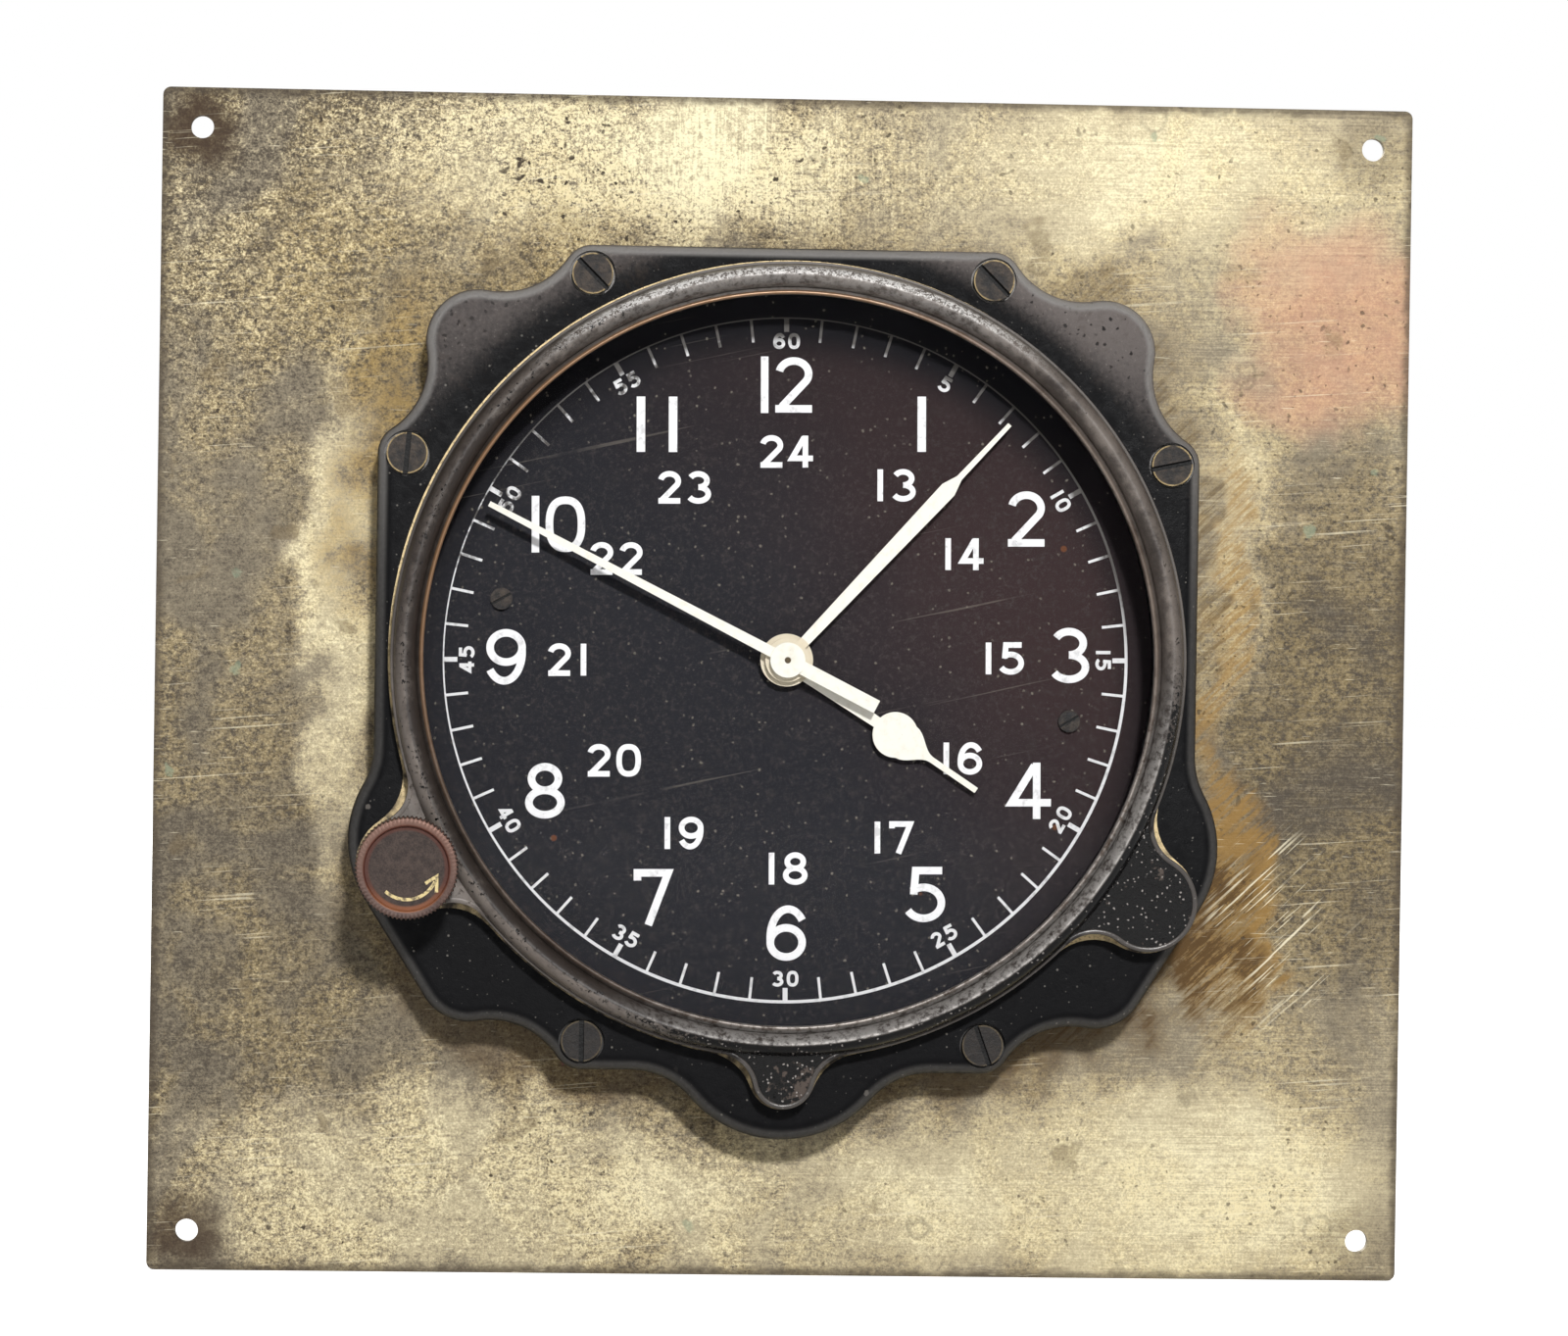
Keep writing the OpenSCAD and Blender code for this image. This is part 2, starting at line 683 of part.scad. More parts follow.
// Pawl beside the ratchet wheel
module click() {
    left = tangent(click_pivot, click_hub, click_nose, click_tip);
    right = 2 * toward(click_pivot, click_nose) - left;
    color("silver") front() sheet(wind_level, wind_level + wind_thickness) difference() {
        polygon(concat(counter(click_nose, click_tip, right, left),
            counter(click_pivot, click_hub, left, right, 16)));
        translate(click_pivot) circle(0.8 + running);
    }
}

// Shouldered post that the click turns on
module click_post() {
    color("gold") front() translate(click_pivot) {
        rod(1.5, main_front, wind_level - 0.1);
        rod(0.8, wind_level - 0.1, wind_level + wind_thickness + 0.1);
        rod(1.4, wind_level + wind_thickness + 0.1, wind_level + wind_thickness + 0.4);
    }
}

// Leaf that presses the click towards the ratchet wheel
module click_spring() {
    back = click_pivot + polar(5, toward(click_pivot, click_nose) + 90);
    tip = click_pivot + polar(7, toward(click_pivot, click_nose)) +
        polar(1.05, toward(click_pivot, click_nose) + 90);
    color("steelblue") front() {
        rod(1.2, main_front, wind_level + 0.2, back);
        sheet(wind_level + 0.2, wind_level + 1) bar(back, tip, 0.4);
    }
}

// Toothed drum that holds the mainspring
module barrel_drum() {
    color("gold") front() translate(barrel_place) difference() {
        union() {
            rod(drum_radius, barrel_rear, barrel_front);
            sheet(barrel_front - 2.4, barrel_front - 0.1)
                polygon(gear(barrel_teeth, barrel_module, -shift, stem_direction + 180));
        }
        rod(drum_bore, barrel_rear - 1, barrel_front - 1.2);
        rod(arbor_radius + running, barrel_rear, barrel_front + 1);
    }
}

// Lid in the back of the drum
module barrel_cover() {
    color("gold") front() translate(barrel_place) difference() {
        rod(drum_bore - snug, barrel_rear + 0.2, barrel_rear + 1.2);
        rod(arbor_radius + running, barrel_rear - 1, barrel_rear + 2);
    }
}

// Arbor that winds the spring, with a square for the ratchet wheel
module barrel_arbor() {
    color("silver") front() translate(barrel_place) difference() {
        union() {
            rod(2.6, barrel_rear + 1.4, barrel_front - 1.4);
            rod(arbor_radius, barrel_rear - 0.6, barrel_front + 0.6);
            rod(1.4, barrel_front + 0.6, main_front + 0.3);
            rod(2.1, main_front + 0.3, wind_level);
            sheet(wind_level, wind_level + wind_thickness - 0.1) square(1.9, center = true);
            rod(1.2, back_back + 0.2, barrel_rear - 0.6);
        }
        rod(0.6 + snug, wind_level - 1.8, wind_level + wind_thickness);
    }
}

// Flat spring coiled between the arbor and the drum
module mainspring() {
    color("steelblue") front()
        sheet(barrel_rear + 1.5, barrel_front - 1.5, barrel_place)
            polygon(spiral(3.4, drum_bore - 0.3, 11, 0.3, 20));
}

// Hollow arbor with the pinion that the barrel drives
module center_arbor() {
    pinion_low = barrel_front - 3;
    color("silver") front() difference() {
        union() {
            rod(center_radius, main_front, minute_level);
            rod(1.6, main_back - 0.1, main_front);
            rod(2.1, main_back - 0.6, main_back - 0.1);
            rod(1.6, main_back - 1.4, main_back - 0.6);
            sheet(pinion_low, main_back - 1.4)
                polygon(gear(leaves, barrel_module, shift, stem_direction + 180 / leaves));
            rod(center_radius, pinion_low - 1.5, pinion_low);
        }
        rod(center_bore, pinion_low - 2, minute_level + 1);
    }
}

// Wheel that turns once an hour
module center_wheel() {
    color("gold") front() sheet(main_back - 1.4, main_back - 0.6)
        wheel(center_teeth, train_module, -shift, third_direction, 1.6 + snug);
}

// Bar that carries the back of the hollow arbor
module center_cock() {
    high = barrel_front - 3.1;
    color("gold") front() difference() {
        union() {
            sheet(high - 1.3, high) bar([0, 0], cock_foot, 4.4);
            rod(2.2, high - 1.3, main_back, cock_foot);
        }
        rod(center_radius + running, high - 2, high + 1);
        rod(0.9, high - 2, main_back + 1, cock_foot);
    }
}

// Screw through the bar's foot into the main plate
module center_cock_screw() {
    color("silver") front() translate(cock_foot) rotate([180, 0, 0])
        screw(1.6, 1, 0.8, 4.4 - barrel_front, -main_back - 1.4);
}

// Arbor that the center wheel drives
module third_arbor() {
    color("silver") front() arbor(third_place, 0.9, train_module,
        third_direction + 180 + 180 / leaves, main_back - 1.9, main_back - 0.2);
}

// Wheel that drives the seconds arbor
module third_wheel() {
    color("gold") front() sheet(third_level, third_level + 0.8, third_place)
        wheel(third_teeth, fourth_module, -shift, third_direction + 180, 0.9 + snug);
}

// Arbor through the hollow one, which carries the seconds hand
module seconds_arbor() {
    color("silver") front() {
        rod(seconds_radius, third_level + 1.4, seconds_level);
        rod(seconds_tip, seconds_level, seconds_level + 0.8);
        sheet(third_level - 0.6, third_level + 1.4)
            polygon(gear(leaves, fourth_module, shift, third_direction + 180 / leaves));
        rod(0.9, back_front + 0.1, third_level - 0.6);
        rod(pivot, back_back + 0.2, back_front + 0.1);
    }
}

// Wheel that turns once a minute
module fourth_wheel() {
    color("gold") front() sheet(fourth_level, fourth_level + 0.7)
        wheel(fourth_teeth, escape_module, -shift, escape_direction, 0.9 + snug);
}

// Arbor that the fourth wheel drives
module escape_arbor() {
    color("silver") front() arbor(escape_place, 0.6, escape_module,
        escape_direction + 180 + 180 / leaves, fourth_level - 0.4, fourth_level + 1.1);
}

// Wheel with pointed, leaning teeth
module escape_wheel() {
    r = escape_radius;
    color("gold") front() sheet(lever_level, lever_level + 0.5, escape_place) difference() {
        polygon([for (k = [0:escape_teeth - 1])
            for (p = [[r * 0.74, -7], [r, 0], [r * 0.98, 2], [r * 0.74, 5]])
                polar(p[0], lever_direction + 12 + 360 * k / escape_teeth + p[1])]);
        circle(0.6 + snug);
    }
}

// Fork and anchor on one arbor
module pallet_lever() {
    along = polar(1, lever_direction);
    color("silver") front() difference() {
        union() {
            sheet(lever_level, lever_level + 0.5) {
                bar(lever_place, lever_place + 6.4 * along, 0.8);
                translate(lever_place + 6.4 * along) circle(1);
                for (s = [-1, 1]) bar(lever_place, stone_place(s, 1.3), 0.7);
            }
            rod(pivot, back_back + 0.2, main_front - 0.2, lever_place);
            rod(0.8, lever_level + 1, main_back - 0.1, lever_place);
            rod(0.8, back_front + 0.1, balance_level - 0.8, lever_place);
        }
        sheet(lever_level - 1, lever_level + 1, lever_place + 6.4 * along)
            rotate(lever_direction) translate([0.1, -0.3]) square([2, 0.6]);
        for (s = [-1, 1]) sheet(lever_level - 0.1, lever_level + 0.6) stone(s, 0.9, snug);
    }
}

// Place on one pallet's line, at a distance outside the escape wheel
function stone_place(s, out) =
    escape_place + polar(escape_radius + out, lever_direction + 30 * s);

// A pallet stone's flat shape, from the gap at the wheel outwards
module stone(s, length, grow) {
    translate(stone_place(s, 0.5)) rotate(lever_direction + 30 * s)
        translate([-grow, -0.22 - grow]) square([length + 2 * grow, 0.44 + 2 * grow]);
}

// Two stones set in the anchor, clear of the escape wheel
module pallet_stones() {
    color("crimson") front() sheet(lever_level, lever_level + 0.5)
        for (s = [-1, 1]) stone(s, 0.9, 0);
}

// Rim with two arms
module balance_wheel() {
    r = balance_diameter / 2;
    color("gold") front() sheet(balance_level, balance_level + 1.1, balance_place) difference() {
        circle(r);
        difference() {
            circle(r - 0.9);
            circle(1.7);
            square([2 * r, 1.1], center = true);
        }
        circle(0.7 + snug);
    }
}

// Staff with the roller and its pin
module balance_staff() {
    color("silver") front() translate(balance_place) {
        rod(0.7, back_front + 0.2, main_back - 0.1);
        rod(0.35, main_back - 0.1, main_front - 0.2);
        rod(0.35, back_back - 1.4, back_front + 0.2);
        rod(1.9, lever_level + 0.7, lever_level + 1.1);
        rod(0.2, lever_level + 0.6, lever_level + 0.7, polar(1.5, lever_direction + 180));
        rod(1.1, spring_level - 0.1, spring_level + 0.6);
    }
}

// Flat spiral that swings the balance back
module hairspring() {
    color("steelblue") front() sheet(spring_level, spring_level + 0.5, balance_place)
        rotate(foot_direction) polygon(spiral(1.25, 6.2, 10, 0.12, 20));
}

// Bar over the balance on the back of the movement, with the spring's stud
module balance_cock() {
    color("gold") front() difference() {
        union() {
            sheet(back_back - 1.6, back_back) bar(balance_place, balance_foot, 5.4);
            rod(0.5, back_back - 1, spring_level + 0.5, balance_place + polar(6.85, foot_direction));
        }
        rod(0.35 + running, back_back - 2, back_back + 1, balance_place);
        rod(1, back_back - 2, back_back + 1, balance_foot);
    }
}

// Screw that holds the balance's bar to the back plate
module balance_cock_screw() {
    color("silver") front() translate(balance_foot) rotate([180, 0, 0])
        screw(1.9, 1, 0.9, 1.6 - back_back, -back_front - 0.2, 40);
}

// Front plate of the movement
module main_plate() {
    color("khaki") front() difference() {
        rod(main_radius, main_back, main_front);
        rod(1.6 + running, main_back - 1, main_front + 1);
        rod(1.4 + running, main_back - 1, main_front + 1, barrel_place);
        for (p = [third_place, escape_place, lever_place])
            rod(pivot + running, main_back - 1, main_front + 1, p);
        rod(0.35 + running, main_back - 1, main_front + 1, balance_place);
        rod(0.8 + snug, main_back - 1, main_back + 1.6, cock_foot);
        rod(1 + snug, main_back - 1, main_front + 1, idler_place);
        rod(0.6 + snug, main_back - 1, main_front + 1, motion_place);
        for (s = [-1, 1]) rod(0.9 + snug, main_back - 1, main_front + 1, -s * [dial_screw.x, -dial_screw.y]);
        for (a = pillar_directions) rod(1.2 + snug, main_back - 1, main_front + 1, polar(31, a));
        for (a = boss_directions) rod(1.1, main_back - 1, main_front + 1, polar(boss_circle, a));
    }
}

// Back plate of the movement, open for the balance
module back_plate() {
    color("khaki") front() difference() {
        rod(back_radius, back_back, back_front);
        rod(1.2 + running, back_back - 1, back_front + 1, barrel_place);
        rod(pivot + running, back_back - 1, back_front + 1);
        for (p = [third_place, escape_place, lever_place])
            rod(pivot + running, back_back - 1, back_front + 1, p);
        rod(7.7, back_back - 1, back_front + 1, balance_place);
        rod(0.9 + snug, back_back - 1, back_front + 1, balance_foot);
        for (a = pillar_directions) rod(0.9, back_back - 1, back_front + 1, polar(31, a));
        for (a = boss_directions) rod(3.6, back_back - 1, back_front + 1, polar(boss_circle, a));
    }
}

// Pillars riveted into the main plate
module plate_pillars() {
    color("gold") front() for (a = pillar_directions) difference() {
        union() {
            rod(2.2, back_front, main_back, polar(31, a));
            rod(1.2, main_back, main_front, polar(31, a));
        }
        rod(0.8 + snug, back_front - 1, back_front + 5, polar(31, a));
    }
}

// Screws that hold the back plate to the pillars
module pillar_screws() {
    color("silver") front() for (a = pillar_directions) translate(polar(31, a)) rotate([180, 0, 0])
        screw(1.9, 1.1, 0.8, -back_back, -back_front - 4.6, a);
}

// Screws that hold the movement to the can's bosses
module movement_screws() {
    color("silver") front() for (a = boss_directions) translate(polar(boss_circle, a))
        screw(1.9, 1, 1, main_front, main_back - 4, a);
}

// Pinion and pipe pushed onto the hollow arbor, for the minute hand
module cannon_pinion() {
    color("silver") front() difference() {
        union() {
            sheet(main_front + 0.3, main_front + 1.7) polygon(gear(cannon_teeth, motion_module,
                motion_shift, motion_direction + 180 / cannon_teeth));
            rod(cannon_radius, main_front + 1.7, minute_level + 0.5);
        }
        rod(center_radius + snug, main_front, minute_level + 1);
    }
}

// Wheel and pinion between the cannon pinion and the hour wheel
module minute_wheel() {
    color("gold") front() difference() {
        union() {
            sheet(main_front + 0.4, main_front + 1.3, motion_place)
                polygon(gear(minute_teeth, motion_module, -motion_shift, motion_direction + 180));
            sheet(main_front + 1.3, main_front + 3.2, motion_place) polygon(gear(minute_leaves,
                hour_module, motion_shift, motion_direction + 180 + 180 / minute_leaves));
        }
        rod(0.6 + running, main_front, main_front + 4, motion_place);
    }
}

// Post that the minute wheel turns on
module minute_wheel_post() {
    color("silver") front() translate(motion_place) {
        rod(0.6, main_back, main_front + 3.3);
        rod(1.2, main_front, main_front + 0.3);
    }
}

// Wheel and pipe for the hour hand
module hour_wheel() {
    color("gold") front() difference() {
        union() {
            sheet(main_front + 2.1, main_front + 2.9)
                polygon(gear(hour_teeth, hour_module, -motion_shift, motion_direction));
            rod(hour_radius, main_front + 2.1, hour_level + 0.5);
        }
        rod(hour_bore, main_front + 1, hour_level + 1);
    }
}

// Can behind the plate, with a flange inside the housing and three bosses
module rear_can() {
    color("#2a2a2a") front() difference() {
        union() {
            rod(can_radius, can_back, flange_front);
            sheet(plate_front, flange_front) polygon(outline(housing_wall + 0.3));
        }
        difference() {
            rod(can_bore, can_back + 1.5, flange_front + 1);
            for (a = boss_directions) rod(3.2, main_back - 6, main_back, polar(boss_circle, a));
        }
        for (p = corner_places) rod(corner_lobe - 0.6, plate_front - 1, flange_front + 1, p);
        for (p = face_screws) rod(1 + snug, plate_front - 1, flange_front + 1, p);
        for (a = boss_directions) rod(1 + snug, main_back - 4.4, main_back + 1, polar(boss_circle, a));
        rod(stem_diameter / 2 + running, plate_front - 1, flange_front + 1, stem_place);
        rod(4.4, can_back - 1, can_back + 2, balance_place);
    }
}

// Slotted plug in the can's back, over the balance
module regulator_plug() {
    color("goldenrod") front() translate(balance_place) rotate([180, 0, 0])
        screw(5.6, 1.2, 4.4 - snug, can_depth, can_depth - 1.5, 45);
}

mounting_plate();
panel_screws();
panel_washers();
front_housing();
housing_screws();
bezel();
bezel_shim();
bezel_screws();
crystal();
crystal_gasket();
dial();
dial_posts();
dial_screws();
hour_hand();
minute_hand();
seconds_hand();
winding_knob();
winding_stem();
stem_bushing();
bushing_nut();
winding_pinion();
idler_wheel();
idler_post();
ratchet_wheel();
ratchet_screw();
click();
click_post();
click_spring();
barrel_drum();
barrel_cover();
barrel_arbor();
mainspring();
center_arbor();
center_wheel();
center_cock();
center_cock_screw();
third_arbor();
third_wheel();
seconds_arbor();
fourth_wheel();
escape_arbor();
escape_wheel();
pallet_lever();
pallet_stones();
balance_wheel();
balance_staff();
hairspring();
balance_cock();
balance_cock_screw();
main_plate();
back_plate();
plate_pillars();
pillar_screws();
movement_screws();
cannon_pinion();
minute_wheel();
minute_wheel_post();
hour_wheel();
rear_can();
regulator_plug();
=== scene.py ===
import bmesh
import bpy
import numpy as np
from mathutils import Matrix, Vector


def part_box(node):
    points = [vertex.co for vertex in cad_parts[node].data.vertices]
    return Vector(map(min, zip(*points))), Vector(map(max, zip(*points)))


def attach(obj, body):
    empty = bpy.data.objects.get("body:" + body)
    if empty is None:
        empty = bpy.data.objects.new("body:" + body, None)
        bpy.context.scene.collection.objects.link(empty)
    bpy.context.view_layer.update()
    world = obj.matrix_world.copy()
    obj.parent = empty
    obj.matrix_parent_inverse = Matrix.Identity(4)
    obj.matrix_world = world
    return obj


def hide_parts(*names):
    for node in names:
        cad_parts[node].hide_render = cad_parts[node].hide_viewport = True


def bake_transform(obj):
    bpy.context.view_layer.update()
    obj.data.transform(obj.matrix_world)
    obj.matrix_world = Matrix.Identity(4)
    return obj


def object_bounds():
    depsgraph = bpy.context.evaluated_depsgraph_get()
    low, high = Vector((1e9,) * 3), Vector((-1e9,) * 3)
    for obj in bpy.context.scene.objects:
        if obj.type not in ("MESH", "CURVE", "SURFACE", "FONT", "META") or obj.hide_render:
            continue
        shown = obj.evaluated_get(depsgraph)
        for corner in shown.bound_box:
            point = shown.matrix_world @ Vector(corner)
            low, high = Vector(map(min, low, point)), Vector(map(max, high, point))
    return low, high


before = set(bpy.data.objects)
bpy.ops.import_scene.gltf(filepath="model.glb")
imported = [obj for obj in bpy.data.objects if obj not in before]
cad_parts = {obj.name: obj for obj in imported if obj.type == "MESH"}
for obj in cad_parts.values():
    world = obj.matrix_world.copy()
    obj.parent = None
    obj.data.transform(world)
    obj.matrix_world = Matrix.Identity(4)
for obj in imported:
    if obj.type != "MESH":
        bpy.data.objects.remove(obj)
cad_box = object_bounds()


# Mounting plate: a flat sheet of brass whose nickel plating has worn and stained, brushed
# along its width, with a hole near each corner. The frame's own solid has its shape, so
# this section makes only the finish.
class Shade:
    """A socket of a finish. Arithmetic with it adds Math nodes, and add() makes any other node."""

    def __init__(self, tree, socket=None):
        self.tree = tree
        self.socket = socket

    def add(self, kind, settings={}, sockets={}, out=0):
        """A new node: its settings first, then its sockets. Gives one output."""
        node = self.tree.nodes.new("ShaderNode" + kind)
        for name, value in settings.items():
            setattr(node, name, value)
        plug(node, sockets)
        return Shade(self.tree, node.outputs[out])

    def math(self, operation, first, second=0.0):
        return self.add("Math", {"operation": operation}, {0: first, 1: second})

    def __add__(self, other):
        return self.math("ADD", self, other)

    __radd__ = __add__

    def __sub__(self, other):
        return self.math("SUBTRACT", self, other)

    def __rsub__(self, other):
        return self.math("SUBTRACT", other, self)

    def __mul__(self, other):
        return self.math("MULTIPLY", self, other)

    __rmul__ = __mul__

    def __pow__(self, other):
        return self.math("POWER", self, other)

    def __abs__(self):
        return self.math("ABSOLUTE", self)

    def over(self, other):
        """The larger of two masks."""
        return self.math("MAXIMUM", self, other)

    def ramp(self, low, high):
        """0 up to low and 1 from high on, with a smooth rise between; falls if high is the smaller."""
        settings = {"interpolation_type": "SMOOTHSTEP"}
        return self.add("MapRange", settings, {"Value": self, "From Min": low, "From Max": high})

    def paint(self, under, above):
        """Two colours, links or screen values, mixed by this mask: under at 0 and above at 1."""
        return self.add("Mix", {"data_type": "RGBA"}, {0: self, 6: under, 7: above}, 2)

    def stretch(self, x, y, z):
        """This place with its axes scaled, so that a pattern on it runs in lines."""
        return self.add("VectorMath", {"operation": "MULTIPLY"}, {0: self, 1: (x, y, z)})

    def noise(self, scale, detail=4.0, rough=0.55, bend=0.0):
        """Cloudy noise on this place, with scale clouds to the millimetre."""
        look = {"Scale": scale, "Detail": detail, "Roughness": rough, "Distortion": bend}
        return self.add("TexNoise", {}, {"Vector": self, **look})

    def cells(self, scale, out="Distance"):
        """Distance to the nearest of scattered points, scale to the millimetre, or another output."""
        return self.add("TexVoronoi", {}, {"Vector": self, "Scale": scale}, out)

    def warp(self, scale, reach):
        """This place pushed about by cloudy noise, by up to half of reach each way."""
        push = self.add("TexNoise", {}, {"Vector": self, "Scale": scale, "Detail": 3.0}, "Color")
        push = push.add("VectorMath", {"operation": "SUBTRACT"}, {0: push, 1: (0.5, 0.5, 0.5)})
        push = push.add("VectorMath", {"operation": "SCALE"}, {0: push, "Scale": reach})
        return push.add("VectorMath", {"operation": "ADD"}, {0: self, 1: push})

    def axes(self):
        """The three numbers of a place or a colour."""
        split = self.add("SeparateXYZ", {}, {0: self})
        return [Shade(self.tree, socket) for socket in split.socket.node.outputs]

    def specks(self, scale, size, share):
        """Round specks in scattered cells: a share of the cells hold one, of this part of a cell."""
        chosen = self.cells(scale, "Color").axes()[0].ramp(1 - share, 1 - share * 0.8)
        return self.cells(scale).ramp(size, size * 0.6) * chosen

    def bump(self, depth, strength=1.0):
        """A normal from this height, which stands for depth millimetres."""
        return self.add("Bump", {}, {"Strength": strength, "Distance": depth / 1000, "Height": self})


def tone(screen):
    """A colour from its six-figure screen value, as the linear numbers that a shader takes."""
    value = np.array([int(screen[k:k + 2], 16) for k in (0, 2, 4)]) / 255
    linear = np.where(value < 0.04045, value / 12.92, ((value + 0.055) / 1.055) ** 2.4)
    return (*linear.tolist(), 1.0)


def plug(node, sockets):
    """Gives a node's sockets their links or values; a colour may be a screen value."""
    for name, value in sockets.items():
        if isinstance(value, Shade):
            node.id_data.links.new(value.socket, node.inputs[name])
        else:
            node.inputs[name].default_value = tone(value) if isinstance(value, str) else value


def new_finish(name):
    """A new material. Gives it, the place on the object in mm, and the place's three numbers."""
    finish = bpy.data.materials.new(name)
    finish.use_nodes = True
    spot = Shade(finish.node_tree).add("TexCoord", out="Object")
    spot = spot.add("VectorMath", {"operation": "SCALE"}, {0: spot, "Scale": 1000.0})
    return finish, spot, *spot.axes()


def feed(finish, base, layers, **sockets):
    """Fills the shader's sockets and gives the finish. Its colour is a base under layers, each a mask and
    what it paints."""
    for mask, above in layers:
        base = mask.paint(base, above)
    named = {name.replace("_", " "): value for name, value in sockets.items()}
    plug(finish.node_tree.nodes["Principled BSDF"], {"Base Color": base, **named})
    return finish


def coat(finish, *nodes):
    """Gives a finish to nodes of the frame."""
    for name in nodes:
        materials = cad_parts[name].data.materials
        materials.clear()
        materials.append(finish)


clock_rise = sum(corner.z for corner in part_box("dial")) / 2 * 1000
plate_half = (63.5, 59.7)
hole_place = (59.5, 55.7)


